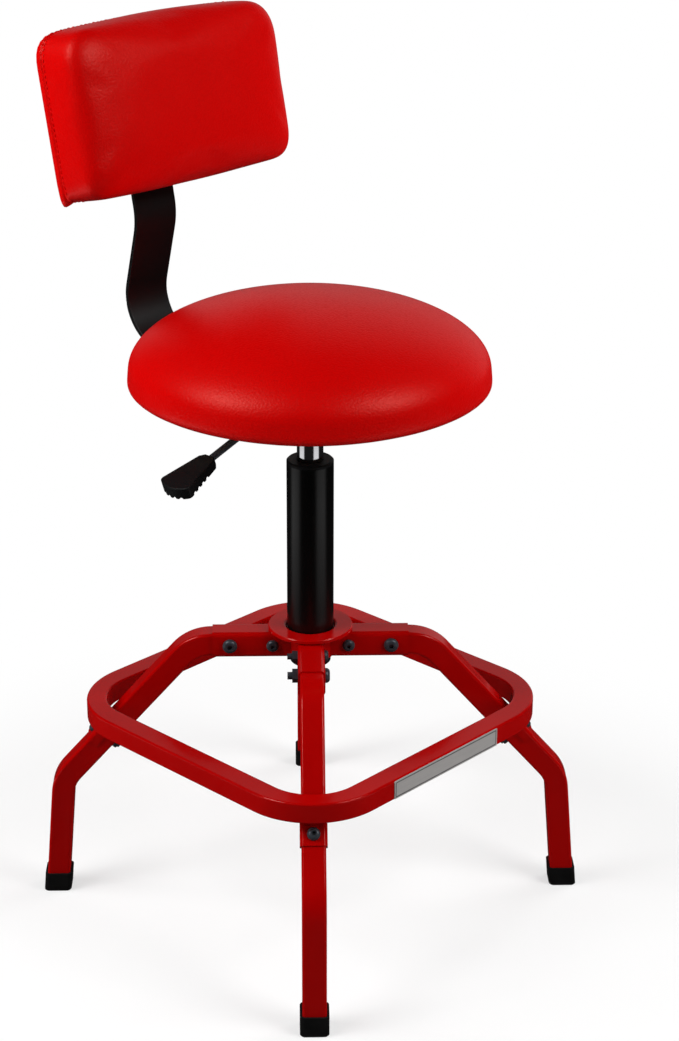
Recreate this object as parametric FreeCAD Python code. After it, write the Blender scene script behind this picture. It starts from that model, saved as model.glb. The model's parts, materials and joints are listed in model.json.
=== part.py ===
import FreeCAD, Part
import math
import os

# A height-adjustable swivel stool: four bent legs on a welded hub, a square footrest ring,
# a gas column, a round domed seat with a release lever, and a small leaning backrest.
# The frame has +Z up from the floor and its origin under the column. The sitter faces -Y.
# All lengths are in millimetres and all angles in degrees.

# Fits and gaps
WELD_GAP = 0.05          # between pieces that are welded or pressed together
RUNNING_FIT = 0.05       # radial, round a shaft that turns or slides
BOLT_FIT = 0.25          # radial, round the shank of a bolt
SOFT_GAP = 0.3           # between a cushion and what carries it

# Legs and their sleeves
LEG_TUBE = 25.0          # outside of the square tube
LEG_WALL = 1.5
LEG_CORNER = 3.0         # outside corner radius of the tube
LEG_BEND_RADIUS = 44.0   # on the middle of the tube
LEG_SLOPE = 48.5         # of the middle run, below level
LEG_SPLAY = 5.0          # of the lower run, from upright
LEG_LEAD = 1.0           # straight tube between the sleeve and the first bend
FOOT_RADIUS = 285.0      # from the axis to the middle of a foot, on the floor
SLEEVE_HEIGHT = 304.0    # from the floor to the middle of the sleeves
SLEEVE_REACH = 106.0     # from the axis to the outer end of a sleeve
SLEEVE_WALL = 1.6
SLEEVE_FIT = 0.2         # between a leg and its sleeve
LEG_STANDOFF = 5.0       # from the hub to the inner end of a leg

# Foot caps
CAP_WALL = 2.4
CAP_FIT = 0.1
CAP_HEIGHT = 22.0
CAP_FLOOR = 4.0
CAP_EDGE = 1.2           # chamfer round the sole

# Footrest ring, its tabs and its plate
RING_UNDERSIDE = 216.2   # from the floor
RING_WIDTH = 25.0        # of its tube, along the straight sides
RING_HEIGHT = 22.5       # of its tube
RING_WALL = 1.5
RING_EDGE = 2.2          # rounding of the tube's long edges
RING_CORNER = 86.0       # outside radius of the ring's four corners
RING_INSIDE_CORNER = 54.0  # their inside radius, where bending drew the tube thinner
RING_SEAT = 0.1          # between the ring and the legs that it rests on
TAB_SHEET = 1.5
TAB_FIT = 0.1
TAB_LENGTH = 34.0        # down the leg, from the ring
TAB_SIDE = 11.0          # depth of the two turned-back sides
TAB_BOLT = 22.0          # from the ring to the bolt, down the leg
NAME_PLATE_LENGTH = 162.0
NAME_PLATE_MARGIN = 1.0  # from the plate to the edges of the tube
NAME_PLATE_SHEET = 0.8

# Hub and column
COLUMN_DIAMETER = 50.0
COLUMN_TOP = 514.5       # from the floor to the top of the guide's collar
COLUMN_WALL = 2.0
COLUMN_NECK = 2.4        # step from the column to its tapered foot
COLUMN_TAPER = 1.0       # half angle of the tapered foot
COLUMN_PROTRUSION = 8.0  # of the column below the hub
COLUMN_FLOOR = 3.0
COLUMN_EDGE = 1.0        # chamfer round the column's foot
HUB_STEP = 0.5           # from the column's outside to the hub's outside
HUB_LIP = 1.2            # of the hub below the sleeves
FLANGE_DIAMETER = 91.0
FLANGE_THICKNESS = 4.5
FLANGE_EDGE = 0.75       # chamfer of its rim
FLANGE_FLARE = 3.5       # radius of the rolled edge round the column
FLANGE_GAP = 1.2         # between the flange and the sleeves
BUSH_LENGTH = 70.0
BUSH_COLLAR = 4.0
BUSH_CHAMFER = 1.5

# Gas spring and its thrust bearing
GAS_DIAMETER = 28.0
GAS_WALL = 1.5
GAS_LENGTH = 222.0
GAS_TAPER = 1.4          # half angle of the cone at its top
ROD_DIAMETER = 10.0
ROD_TAIL = 4.5           # of the rod below the column
ROD_COLLAR = 4.0
ROD_COLLAR_DIAMETER = 18.0
PISTON_LENGTH = 12.0
PISTON_GROOVE = 3.0      # width of the groove for the piston's ring
SEAL_LENGTH = 12.0
VALVE_LENGTH = 20.0
LIFT_TRAVEL = 55.0       # up from the height shown
STOP_GAP = 1.0           # left at the top of the travel
RACE_DIAMETER = 26.0
RACE_SHEET = 2.0
ROLLER_HEIGHT = 4.0
BUMPER_LENGTH = 10.0
BUMPER_DIAMETER = 22.0
CLIP_SHEET = 1.2
CLIP_DIAMETER = 18.0
CLIP_GROOVE = 1.0        # depth of its groove in the rod
CLIP_MOUTH = 6.4         # width of its open side

# Seat, its plate and its housing
SEAT_RISE = 83.5         # of the seat's underside over the column, at the height shown
SEAT_DIAMETER = 377.0
SEAT_CROWN = 70.0        # rise of the dome over the widest line
DOME_TURNS = (0, 24, 52)  # angles on the dome's ellipse where its arcs and its cap meet
SEAT_SIDE = 19.3         # from the underside to the widest line
SEAT_ROLL = 8.0          # radius of the turn from the side to the underside
SEAT_DRAW = 1.0          # how far the side is drawn in above that turn
SEAT_BOARD_SHEET = 12.0
SEAT_BOARD_WRAP = 1.0    # vinyl between the board's rim and the drawn-in side
SEAT_PLATE_LENGTH = 160.0
SEAT_PLATE_WIDTH = 124.0
SEAT_PLATE_SHEET = 2.5
SEAT_PLATE_CORNER = 10.0
SEAT_BOLT_INSET = 14.0   # from the plate's edges to its bolts
HOUSING_LENGTH = 104.0
HOUSING_WIDTH = 68.0
HOUSING_DEPTH = 42.0
HOUSING_SHEET = 2.5
HOUSING_CORNER = 8.0
SOCKET_DIAMETER = 38.0
SOCKET_LENGTH = 22.0
SOCKET_DROP = 2.0        # of the socket's top below the top of the gas spring

# Release lever and pin
LEVER_DROP = 22.5        # of the lever's level run, below the seat
LEVER_DROOP = 18.5       # of its outer run, below level
LEVER_ROD = 7.5
LEVER_BEND = 77.0        # from the axis to the corner of the lever's bend
LEVER_BEND_RADIUS = 40.0
LEVER_PIVOT = 38.0       # from the axis to the lever's pivot
LEVER_NOSE = 44.0        # of the rod past its pivot, over the pin
LEVER_SLOT = 3.0         # room round the rod where it leaves the housing
PIVOT_DIAMETER = 4.0
PIVOT_HEAD = 1.5
PADDLE_START = 69.0      # from the bend's corner to the paddle, along the rod
PADDLE_LENGTH = 59.0
PADDLE_INNER_WIDTH = 22.0
PADDLE_OUTER_WIDTH = 41.0
PADDLE_INNER_DEPTH = 9.4
PADDLE_OUTER_DEPTH = 12.8
PADDLE_TOP = 4.7         # of the paddle's upper face over the rod's middle
PADDLE_BOW = 8.0         # of its outer end
PADDLE_CUT = 5.0         # of its inner corners
PADDLE_CORNER = 5.0      # radius of its outer corners
PADDLE_EDGE = 1.6        # rounding of the upper rim
PADDLE_SOCKET = 34.0     # of the rod inside the paddle
GRIP_COUNT = 4           # finger grooves across the underside, and into the outer end
GRIP_RADIUS = 2.2
GRIP_PITCH = 7.5
PIN_DIAMETER = 6.0
PIN_STANDOUT = 5.2       # of the pin over the gas spring
PIN_LENGTH = 18.0
PIN_EDGE = 0.6           # chamfer of its upper end
PIN_GAP = 0.3            # under the lever

# Backrest
BRACKET_WIDTH = 57.0
BRACKET_SHEET = 5.0
BRACKET_LAP = 108.5      # of the bar under the seat, in from the seat's rim
BRACKET_REACH = 75.8     # from the seat's rim to the corner of the lower bend
BRACKET_RAKE = 14.0      # forward lean of the middle run
BRACKET_KNEE = 135.8     # height of the upper bend's corner over the lower bend's
BRACKET_BEND = 50.0      # radius of the lower bend, on the middle of the bar
BRACKET_KNEE_BEND = 70.0
BRACKET_UPPER = 150.0    # bar above the upper bend's corner
BRACKET_EDGE = 1.0       # rounding of the bar's long edges
BACK_LEAN = 11.3         # backward lean of the pad
PAD_RISE = 125.0         # from the upper bend's corner to the middle of the pad
PAD_WIDTH = 291.0
PAD_HEIGHT = 172.0
PAD_THICKNESS = 70.0
PAD_SEAM = 14.5          # from the pad's back to its widest line
PAD_ROLL = 6.0           # how far the sides draw in from there to the back
PAD_DRAW = 1.5           # how far they draw in to the start of the front edge
PAD_EDGE = 24.0          # depth of the rounded front edge
PAD_EDGE_TURNS = (25, 50, 70, 90)  # angles of that rounding where the pad's outline is set
PAD_CROWN = 50.0         # how far that rounding reaches over the front
PAD_TOP_CORNER = 36.0    # radius of the outline's upper corners, towards the front
PAD_BOTTOM_CORNER = 27.0
PAD_BACK_TOP_CORNER = 24.0  # the same corners, at the back
PAD_BACK_BOTTOM_CORNER = 9.0
PAD_BOW = 4.0            # rise of the top edge at its middle
SHELL_DEPTH = 15.0
SHELL_INSET = 30.0       # from the pad's outline to the shell's
SHELL_CORNER = 22.0
SHELL_EDGE = 4.0         # rounding of the shell's back rim

# Bolts: radius of the shank, radius of the head and height of the head
OUTER_SHANK = 4.0
OUTER_HEAD = 7.9
OUTER_HEAD_HEIGHT = 5.0
INNER_SHANK = 3.3
INNER_HEAD = 6.7
INNER_HEAD_HEIGHT = 4.4
RING_SHANK = 3.3
RING_HEAD = 6.8
RING_HEAD_HEIGHT = 4.6
SEAT_SHANK = 3.0
SEAT_HEAD = 6.0
SEAT_HEAD_HEIGHT = 3.6
BACK_SHANK = 3.0
BACK_HEAD = 6.0
BACK_HEAD_HEIGHT = 3.6
OUTER_BOLT_RADIUS = 87.0  # from the axis, along the sleeve
INNER_BOLT_RADIUS = 41.0
HEAD_FLAT = 0.45         # share of a head's radius that is flat on top
HEAD_RIM = 0.25          # share of a head's height that is upright at its rim
HEAD_SHOULDER = (0.84, 0.78)  # the dome's shoulder, as shares of radius and height
KEY_RATIO = 0.75         # from a bolt's shank radius to the corners of its key hole
KEY_FLOOR = 0.45         # share of a head's height left under its key hole
NUT_HEIGHT = 6.0
NUT_RATIO = 1.85         # from a bolt's shank radius to its nut's corner radius
NUT_ROUNDING = 1.12      # from a nut's corner radius to the ball that rounds its corners
THREAD_END = 5.0         # of a bolt past its nut
BRACKET_BOLT_SPREAD = 28.0
BRACKET_BOLT_FIRST = 18.0  # from the bar's front end
BRACKET_BOLT_PITCH = 46.0
BACK_BOLT_PITCH = 44.0
BOARD_BITE = 9.0         # of a bolt inside a board

# Legs, by name: bearing from +X, and the side on which their bolt heads lie
LEGS = {
    "back_right": (45.0, -1.0),
    "back_left": (135.0, 1.0),
    "front_left": (225.0, 1.0),
    "front_right": (315.0, -1.0),
}

# Values that follow from the driving dimensions
OUTER_BOLT = (OUTER_SHANK, OUTER_HEAD, OUTER_HEAD_HEIGHT)
INNER_BOLT = (INNER_SHANK, INNER_HEAD, INNER_HEAD_HEIGHT)
RING_BOLT = (RING_SHANK, RING_HEAD, RING_HEAD_HEIGHT)
SEAT_BOLT = (SEAT_SHANK, SEAT_HEAD, SEAT_HEAD_HEIGHT)
BACK_BOLT = (BACK_SHANK, BACK_HEAD, BACK_HEAD_HEIGHT)

slope = math.radians(LEG_SLOPE)
splay = math.radians(LEG_SPLAY)
lean = math.radians(BACK_LEAN)
rake = math.radians(BRACKET_RAKE)
droop = math.radians(LEVER_DROOP)

sleeve_inside = LEG_TUBE + 2 * SLEEVE_FIT
sleeve_outside = sleeve_inside + 2 * SLEEVE_WALL
sleeve_top = SLEEVE_HEIGHT + sleeve_outside / 2
shoulder_radius = SLEEVE_REACH + LEG_LEAD + LEG_BEND_RADIUS * math.tan(slope / 2)

column_radius = COLUMN_DIAMETER / 2
hub_radius = column_radius + HUB_STEP
hub_bottom = SLEEVE_HEIGHT - sleeve_outside / 2 - HUB_LIP
flange_bottom = sleeve_top + FLANGE_GAP
flange_top = flange_bottom + FLANGE_THICKNESS
hub_top = flange_top - FLANGE_FLARE
column_bottom = hub_bottom - COLUMN_PROTRUSION
column_end = COLUMN_TOP - BUSH_COLLAR
neck_radius = column_radius - COLUMN_NECK

seat_underside = COLUMN_TOP + SEAT_RISE
seat_plate_bottom = seat_underside - SEAT_PLATE_SHEET
housing_bottom = seat_plate_bottom - HOUSING_DEPTH
lever_height = seat_underside - LEVER_DROP
pin_radius = PIN_DIAMETER / 2
lever_radius = LEVER_ROD / 2
pin_top = lever_height - lever_radius - PIN_GAP
gas_top = pin_top - PIN_STANDOUT
gas_bottom = gas_top - GAS_LENGTH
gas_radius = GAS_DIAMETER / 2
gas_bore = gas_radius - GAS_WALL
socket_top = gas_top - SOCKET_DROP
socket_bottom = socket_top - SOCKET_LENGTH

rod_radius = ROD_DIAMETER / 2
race_bottom = column_bottom + COLUMN_FLOOR
roller_bottom = race_bottom + RACE_SHEET
upper_race_bottom = roller_bottom + ROLLER_HEIGHT + RUNNING_FIT
collar_bottom = upper_race_bottom + RACE_SHEET
collar_top = collar_bottom + ROD_COLLAR
piston_bottom = gas_bottom + SEAL_LENGTH + LIFT_TRAVEL + STOP_GAP
clip_top = column_bottom - RUNNING_FIT

bracket_middle = seat_underside - BRACKET_SHEET / 2
bracket_toe = SEAT_DIAMETER / 2 - BRACKET_LAP
bracket_heel = SEAT_DIAMETER / 2 + BRACKET_REACH
knee_reach = bracket_heel - BRACKET_KNEE * math.tan(rake)
knee_height = bracket_middle + BRACKET_KNEE

UP = FreeCAD.Vector(0, 0, 1)
ACROSS = FreeCAD.Vector(0, 1, 0)
SIDEWAYS = FreeCAD.Vector(1, 0, 0)
ORIGIN = FreeCAD.Vector(0, 0, 0)


# General shapes
def vec(x, y, z):
    return FreeCAD.Vector(x, y, z)


def box(x0, x1, y0, y1, z0, z1):
    return Part.makeBox(x1 - x0, y1 - y0, z1 - z0, vec(x0, y0, z0))


def cylinder(radius, z0, z1):
    return Part.makeCylinder(radius, z1 - z0, vec(0, 0, z0))


def pipe(outer, inner, z0, z1):
    return cylinder(outer, z0, z1).cut(cylinder(inner, z0, z1))


def rod_between(radius, start, end):
    span = end - start
    return Part.makeCylinder(radius, span.Length, start, span)


def turned(shape, angle):
    copy = shape.copy()
    copy.rotate(ORIGIN, UP, angle)
    return copy


def placed(shape, origin, direction):
    copy = shape.copy()
    copy.Placement = FreeCAD.Placement(origin, FreeCAD.Rotation(UP, direction))
    return copy


def revolved(edges):
    return Part.Face(Part.Wire(edges)).revolve(ORIGIN, UP, 360)


def profile(points):
    return [vec(r, 0, z) for r, z in points]


def turned_solid(points):
    corners = profile(points)
    wire = Part.makePolygon(corners + corners[:1])
    return Part.Face(wire).revolve(ORIGIN, UP, 360)


def rounded_rectangle(middle, right, up, width, height, radius):
    """A wire round the point called middle, in the plane of the unit vectors right and up."""
    half_w = width / 2
    half_h = height / 2
    x = half_w - radius
    y = half_h - radius
    mid = radius * math.sqrt(0.5)

    def at(across, rise):
        return middle + right * across + up * rise

    arcs = []
    for side, level in ((1, 1), (-1, 1), (-1, -1), (1, -1)):
        on_side = at(side * half_w, level * y)
        on_level = at(side * x, level * half_h)
        through = at(side * (x + mid), level * (y + mid))
        ends = (on_side, on_level) if side == level else (on_level, on_side)
        arcs.append((ends[0], through, ends[1]))
    edges = []
    for index, (first, through, last) in enumerate(arcs):
        following = arcs[(index + 1) % 4][0]
        edges.append(Part.Arc(first, through, last).toShape())
        edges.append(Part.LineSegment(last, following).toShape())
    return Part.Wire(edges)


def tube_face(middle, right, up, outside, wall, corner):
    outer = rounded_rectangle(middle, right, up, outside, outside, corner)
    inside = outside - 2 * wall
    inner = rounded_rectangle(middle, right, up, inside, inside, corner - wall)
    return Part.Face(outer).cut(Part.Face(inner)).Faces[0]


def joined(solids):
    return solids[0].multiFuse(solids[1:]).removeSplitter()


def bent_bar(corners, normal, bend_radii, section):
    """Sweeps a section along straight runs and tangent arcs, in the plane with that normal.

    section(middle, right, up) gives the face, where up lies along the normal.
    """
    last = len(corners) - 1
    trims = {}
    solids = []
    for index in range(1, last):
        before = (corners[index] - corners[index - 1]).normalize()
        after = (corners[index + 1] - corners[index]).normalize()
        angle = before.getAngle(after)
        trims[index] = bend_radii[index] * math.tan(angle / 2)
        side = before.cross(after).dot(normal)
        axis = normal if side > 0 else normal * -1
        start = corners[index] - before * trims[index]
        centre = start + axis.cross(before) * bend_radii[index]
        face = section(start, before.cross(normal), normal)
        solids.append(face.revolve(centre, axis, math.degrees(angle)))
    for index in range(last):
        direction = (corners[index + 1] - corners[index]).normalize()
        start = corners[index] + direction * trims.get(index, 0.0)
        end = corners[index + 1] - direction * trims.get(index + 1, 0.0)
        face = section(start, direction.cross(normal), normal)
        solids.append(face.extrude(end - start))
    return joined(solids)


# Fasteners
def bolt(kind, length):
    """Domed socket-head bolt along +Z, with the seat of its head at the origin."""
    shank, head, height = kind
    crown = head * HEAD_FLAT
    rim = height * HEAD_RIM
    shoulder = vec(head * HEAD_SHOULDER[0], 0, height * HEAD_SHOULDER[1])
    edges = [
        Part.LineSegment(vec(0, 0, -length), vec(shank, 0, -length)).toShape(),
        Part.LineSegment(vec(shank, 0, -length), vec(shank, 0, 0)).toShape(),
        Part.LineSegment(vec(shank, 0, 0), vec(head, 0, 0)).toShape(),
        Part.LineSegment(vec(head, 0, 0), vec(head, 0, rim)).toShape(),
        Part.Arc(vec(head, 0, rim), shoulder, vec(crown, 0, height)).toShape(),
        Part.LineSegment(vec(crown, 0, height), vec(0, 0, height)).toShape(),
        Part.LineSegment(vec(0, 0, height), vec(0, 0, -length)).toShape(),
    ]
    return revolved(edges).cut(hexagon(shank * KEY_RATIO, height * KEY_FLOOR, height))


def hexagon(corner_radius, z0, z1):
    corners = []
    for step in range(7):
        angle = math.radians(60 * step)
        corners.append(vec(corner_radius * math.cos(angle), corner_radius * math.sin(angle), z0))
    return Part.Face(Part.makePolygon(corners)).extrude(vec(0, 0, z1 - z0))


def nut(kind):
    """Nut along +Z from the origin, for a bolt of that kind."""
    shank = kind[0]
    corner = shank * NUT_RATIO
    body = hexagon(corner, 0, NUT_HEIGHT)
    ball = Part.makeSphere(corner * NUT_ROUNDING, vec(0, 0, NUT_HEIGHT / 2))
    return body.common(ball).cut(cylinder(shank + WELD_GAP, 0, NUT_HEIGHT))


def bolt_hole(kind, middle, direction, reach):
    return rod_between(kind[0] + BOLT_FIT, middle - direction * reach, middle + direction * reach)


# Legs, in the plane of +X and +Z, before they are turned to their bearing
def leg_radius(height):
    """Distance from the axis to the middle of a leg's sloping run."""
    return shoulder_radius + (SLEEVE_HEIGHT - height) / math.tan(slope)


def leg_face_radius(height):
    """The same, to the outer face of that run."""
    return leg_radius(height) + LEG_TUBE / 2 / math.sin(slope)


def leg_corners():
    run = 1 / math.tan(slope)
    ankle = (leg_radius(0) - FOOT_RADIUS) / (run - math.tan(splay))
    below = -LEG_TUBE
    return [
        vec(hub_radius + LEG_STANDOFF, 0, SLEEVE_HEIGHT),
        vec(shoulder_radius, 0, SLEEVE_HEIGHT),
        vec(leg_radius(ankle), 0, ankle),
        vec(FOOT_RADIUS - below * math.tan(splay), 0, below),
    ]


def down_the_leg():
    return vec(math.cos(slope), 0, -math.sin(slope))


def out_of_the_leg():
    return vec(math.sin(slope), 0, math.cos(slope))


def tab_bolt_point():
    """Where the tab's bolt crosses the outer face of the leg."""
    top = vec(leg_face_radius(RING_UNDERSIDE), 0, RING_UNDERSIDE)
    return top + down_the_leg() * TAB_BOLT


def socket_bolt_holes():
    holes = []
    for kind, radius in ((OUTER_BOLT, OUTER_BOLT_RADIUS), (INNER_BOLT, INNER_BOLT_RADIUS)):
        holes.append(bolt_hole(kind, vec(radius, 0, SLEEVE_HEIGHT), ACROSS, sleeve_outside))
    return holes


def make_leg():
    def section(middle, right, up):
        return tube_face(middle, right, up, LEG_TUBE, LEG_WALL, LEG_CORNER)

    radii = [0, LEG_BEND_RADIUS, LEG_BEND_RADIUS, 0]
    tube = bent_bar(leg_corners(), ACROSS * -1, radii, section)
    room = FOOT_RADIUS + 4 * LEG_TUBE
    tube = tube.cut(box(0, room, -LEG_TUBE, LEG_TUBE, -4 * LEG_TUBE, CAP_FLOOR))
    tab_hole = bolt_hole(RING_BOLT, tab_bolt_point(), out_of_the_leg(), 2 * LEG_TUBE)
    return tube.cut(socket_bolt_holes() + [tab_hole])


def make_sleeve():
    start = vec(0, 0, SLEEVE_HEIGHT)
    corner = LEG_CORNER + SLEEVE_FIT + SLEEVE_WALL
    face = tube_face(start, ACROSS, UP, sleeve_outside, SLEEVE_WALL, corner)
    tube = face.extrude(vec(SLEEVE_REACH, 0, 0))
    hub = cylinder(hub_radius + WELD_GAP, 0, COLUMN_TOP)
    return tube.cut([hub] + socket_bolt_holes())


def sheared_block(half, corner, z0, z1):
    """A rounded square block that follows the splay of the lower leg."""
    middle = vec(FOOT_RADIUS - z0 * math.tan(splay), 0, z0)
    wire = rounded_rectangle(middle, SIDEWAYS, ACROSS, 2 * half, 2 * half, corner)
    rise = z1 - z0
    return Part.Face(wire).extrude(vec(-rise * math.tan(splay), 0, rise))


def make_foot_cap():
    pocket = LEG_TUBE / 2 / math.cos(splay) + CAP_FIT
    outside = pocket + CAP_WALL
    cap = sheared_block(outside, LEG_CORNER + CAP_WALL, 0, CAP_HEIGHT)
    sole = [edge for edge in cap.Edges if edge.BoundBox.ZMax < CAP_EDGE / 2]
    cap = cap.makeChamfer(CAP_EDGE, sole)
    return cap.cut(sheared_block(pocket, LEG_CORNER, CAP_FLOOR, CAP_HEIGHT + CAP_FLOOR))


# Footrest ring
def ring_corner_reach():
    """Distance from the axis to the inside of the ring's corners, where they rest on the legs."""
    flat = LEG_TUBE / 2 - LEG_CORNER
    sag = RING_INSIDE_CORNER - math.sqrt(RING_INSIDE_CORNER ** 2 - flat ** 2)
    return leg_face_radius(RING_UNDERSIDE) + sag + RING_SEAT


def ring_inside():
    """Distance from the axis to the inside of the ring's straight sides."""
    return (ring_corner_reach() - RING_INSIDE_CORNER) / math.sqrt(2) + RING_INSIDE_CORNER


def ring_block(inset, z0, z1):
    """The space between the ring's two outlines, drawn in by inset on both sides."""
    middle = vec(0, 0, z0)
    inner = 2 * (ring_inside() + inset)
    outer = 2 * (ring_inside() + RING_WIDTH - inset)
    hole = rounded_rectangle(middle, SIDEWAYS, ACROSS, inner, inner, RING_INSIDE_CORNER + inset)
    rim = rounded_rectangle(middle, SIDEWAYS, ACROSS, outer, outer, RING_CORNER - inset)
    return Part.Face(rim).cut(Part.Face(hole)).Faces[0].extrude(vec(0, 0, z1 - z0))


def make_footrest_ring():
    top = RING_UNDERSIDE + RING_HEIGHT
    ring = ring_block(0, RING_UNDERSIDE, top)
    long_edges = [edge for edge in ring.Edges if edge.BoundBox.ZLength < RING_EDGE]
    ring = ring.makeFillet(RING_EDGE, long_edges)
    return ring.cut(ring_block(RING_WALL, RING_UNDERSIDE + RING_WALL, top - RING_WALL))


def make_ring_tab():
    """A channel of sheet that hugs the leg under the ring's corner and is welded to the ring."""
    inside = LEG_TUBE + 2 * TAB_FIT
    outside = inside + 2 * TAB_SHEET
    down = down_the_leg()
    out = out_of_the_leg()
    on_axis = vec(leg_radius(RING_UNDERSIDE), 0, RING_UNDERSIDE)
    start = on_axis - down * (2 * LEG_TUBE)
    corner = LEG_CORNER + TAB_FIT + TAB_SHEET
    face = tube_face(start, ACROSS, out, outside, TAB_SHEET, corner)
    crossing = LEG_TUBE / 2 / math.tan(slope)
    channel = face.extrude(down * (2 * LEG_TUBE + crossing + TAB_LENGTH))
    wide = 4 * LEG_TUBE
    backing = box(-wide, wide, -wide, wide, -wide, 0)
    channel = channel.cut(placed(backing, on_axis + out * (LEG_TUBE / 2 - TAB_SIDE), out))
    weld = RING_UNDERSIDE - WELD_GAP
    reach = FOOT_RADIUS + wide
    channel = channel.cut(box(0, reach, -wide, wide, weld, weld + wide))
    return channel.cut(bolt_hole(RING_BOLT, tab_bolt_point(), out, LEG_TUBE / 2))


def make_name_plate():
    face = -ring_inside() - RING_WIDTH
    middle = vec(0, face, RING_UNDERSIDE + RING_HEIGHT / 2)
    height = RING_HEIGHT - 2 * NAME_PLATE_MARGIN
    wire = rounded_rectangle(middle, SIDEWAYS, UP, NAME_PLATE_LENGTH, height, NAME_PLATE_MARGIN)
    return Part.Face(wire).extrude(vec(0, -NAME_PLATE_SHEET, 0))


# Fasteners of the base
def socket_bolt(kind, radius, side):
    direction = ACROSS * side
    seat = vec(radius, side * sleeve_outside / 2, SLEEVE_HEIGHT)
    return placed(bolt(kind, sleeve_outside + NUT_HEIGHT + THREAD_END), seat, direction)


def socket_nut(kind, radius, side):
    seat = vec(radius, -side * sleeve_outside / 2, SLEEVE_HEIGHT)
    return placed(nut(kind), seat, ACROSS * -side)


def ring_bolt(_side):
    out = out_of_the_leg()
    grip = LEG_TUBE + TAB_FIT + TAB_SHEET
    seat = tab_bolt_point() + out * (TAB_FIT + TAB_SHEET)
    return placed(bolt(RING_BOLT, grip + NUT_HEIGHT + THREAD_END / 2), seat, out)


def ring_nut(_side):
    out = out_of_the_leg()
    seat = tab_bolt_point() - out * LEG_TUBE
    return placed(nut(RING_BOLT), seat, out * -1)


def at_each_leg(make):
    return Part.makeCompound([turned(make(side), angle) for angle, side in LEGS.values()])


# Hub and column
def taper_radius(height):
    """Outside radius of the column's tapered foot."""
    return neck_radius - (hub_top - height) * math.tan(math.radians(COLUMN_TAPER))


def make_hub_tube():
    fit = WELD_GAP
    return turned_solid([
        (taper_radius(hub_bottom) + fit, hub_bottom),
        (hub_radius - HUB_LIP, hub_bottom),
        (hub_radius, hub_bottom + HUB_LIP),
        (hub_radius, hub_top),
        (taper_radius(hub_top) + fit, hub_top),
    ])


def make_hub_flange():
    inner = hub_radius + WELD_GAP
    outer = FLANGE_DIAMETER / 2
    edge = FLANGE_EDGE
    bow = FLANGE_FLARE * (1 - math.sqrt(0.5))
    rim = [
        (inner + FLANGE_FLARE, flange_top),
        (outer - edge, flange_top),
        (outer, flange_top - edge),
        (outer, flange_bottom + edge),
        (outer - edge, flange_bottom),
        (inner, flange_bottom),
        (inner, hub_top),
    ]
    corners = profile(rim)
    edges = list(Part.makePolygon(corners).Edges)
    through = vec(inner + bow, 0, flange_top - bow)
    edges.append(Part.Arc(corners[-1], through, corners[0]).toShape())
    return revolved(edges)


def make_column_tube():
    bore = column_radius - COLUMN_WALL
    foot_bore = taper_radius(column_bottom) - COLUMN_WALL
    hole = rod_radius + RUNNING_FIT
    return turned_solid([
        (hole, column_bottom),
        (taper_radius(column_bottom) - COLUMN_EDGE, column_bottom),
        (taper_radius(column_bottom + COLUMN_EDGE), column_bottom + COLUMN_EDGE),
        (neck_radius, hub_top),
        (column_radius, hub_top),
        (column_radius, column_end),
        (bore, column_end),
        (bore, hub_top + 2 * COLUMN_WALL),
        (foot_bore, hub_top),
        (foot_bore, race_bottom),
        (hole, race_bottom),
    ])


def make_guide_bush():
    bore = gas_radius + RUNNING_FIT
    body = column_radius - COLUMN_WALL - WELD_GAP
    return turned_solid([
        (bore, column_end - BUSH_LENGTH),
        (body, column_end - BUSH_LENGTH),
        (body, column_end),
        (column_radius, column_end),
        (column_radius, COLUMN_TOP - BUSH_CHAMFER),
        (column_radius - BUSH_CHAMFER, COLUMN_TOP),
        (bore + BUSH_CHAMFER / 2, COLUMN_TOP),
        (bore, COLUMN_TOP - BUSH_CHAMFER / 2),
    ])


# Thrust bearing and the parts on the rod
def race(z0, bore):
    return pipe(RACE_DIAMETER / 2, bore, z0, z0 + RACE_SHEET)


def make_roller_ring():
    """The flat ring of rollers between the two races."""
    inner = rod_radius + RACE_SHEET
    outer = RACE_DIAMETER / 2
    edge = RACE_SHEET / 2
    top = roller_bottom + ROLLER_HEIGHT
    return turned_solid([
        (inner, roller_bottom),
        (outer - edge, roller_bottom),
        (outer, roller_bottom + edge),
        (outer, top - edge),
        (outer - edge, top),
        (inner, top),
    ])


def make_piston_rod():
    clip_bottom = clip_top - CLIP_SHEET
    groove = rod_radius - CLIP_GROOVE
    return turned_solid([
        (0, column_bottom - ROD_TAIL),
        (rod_radius - CLIP_GROOVE, column_bottom - ROD_TAIL),
        (rod_radius, column_bottom - ROD_TAIL + CLIP_GROOVE),
        (rod_radius, clip_bottom),
        (groove, clip_bottom),
        (groove, clip_top),
        (rod_radius, clip_top),
        (rod_radius, collar_bottom),
        (ROD_COLLAR_DIAMETER / 2, collar_bottom),
        (ROD_COLLAR_DIAMETER / 2, collar_top),
        (rod_radius, collar_top),
        (rod_radius, piston_bottom),
        (0, piston_bottom),
    ])


def make_rod_clip():
    clip_bottom = clip_top - CLIP_SHEET
    bore = rod_radius - CLIP_GROOVE + WELD_GAP
    ring = pipe(CLIP_DIAMETER / 2, bore, clip_bottom, clip_top)
    half = CLIP_MOUTH / 2
    mouth = box(0, CLIP_DIAMETER, -half, half, clip_bottom, clip_top)
    return ring.cut(mouth)


def make_piston():
    outside = gas_bore - RUNNING_FIT
    low = piston_bottom + (PISTON_LENGTH - PISTON_GROOVE) / 2
    high = low + PISTON_GROOVE
    return turned_solid([
        (0, piston_bottom),
        (outside, piston_bottom),
        (outside, low),
        (outside - CLIP_GROOVE, low),
        (outside - CLIP_GROOVE, high),
        (outside, high),
        (outside, piston_bottom + PISTON_LENGTH),
        (0, piston_bottom + PISTON_LENGTH),
    ])


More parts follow.
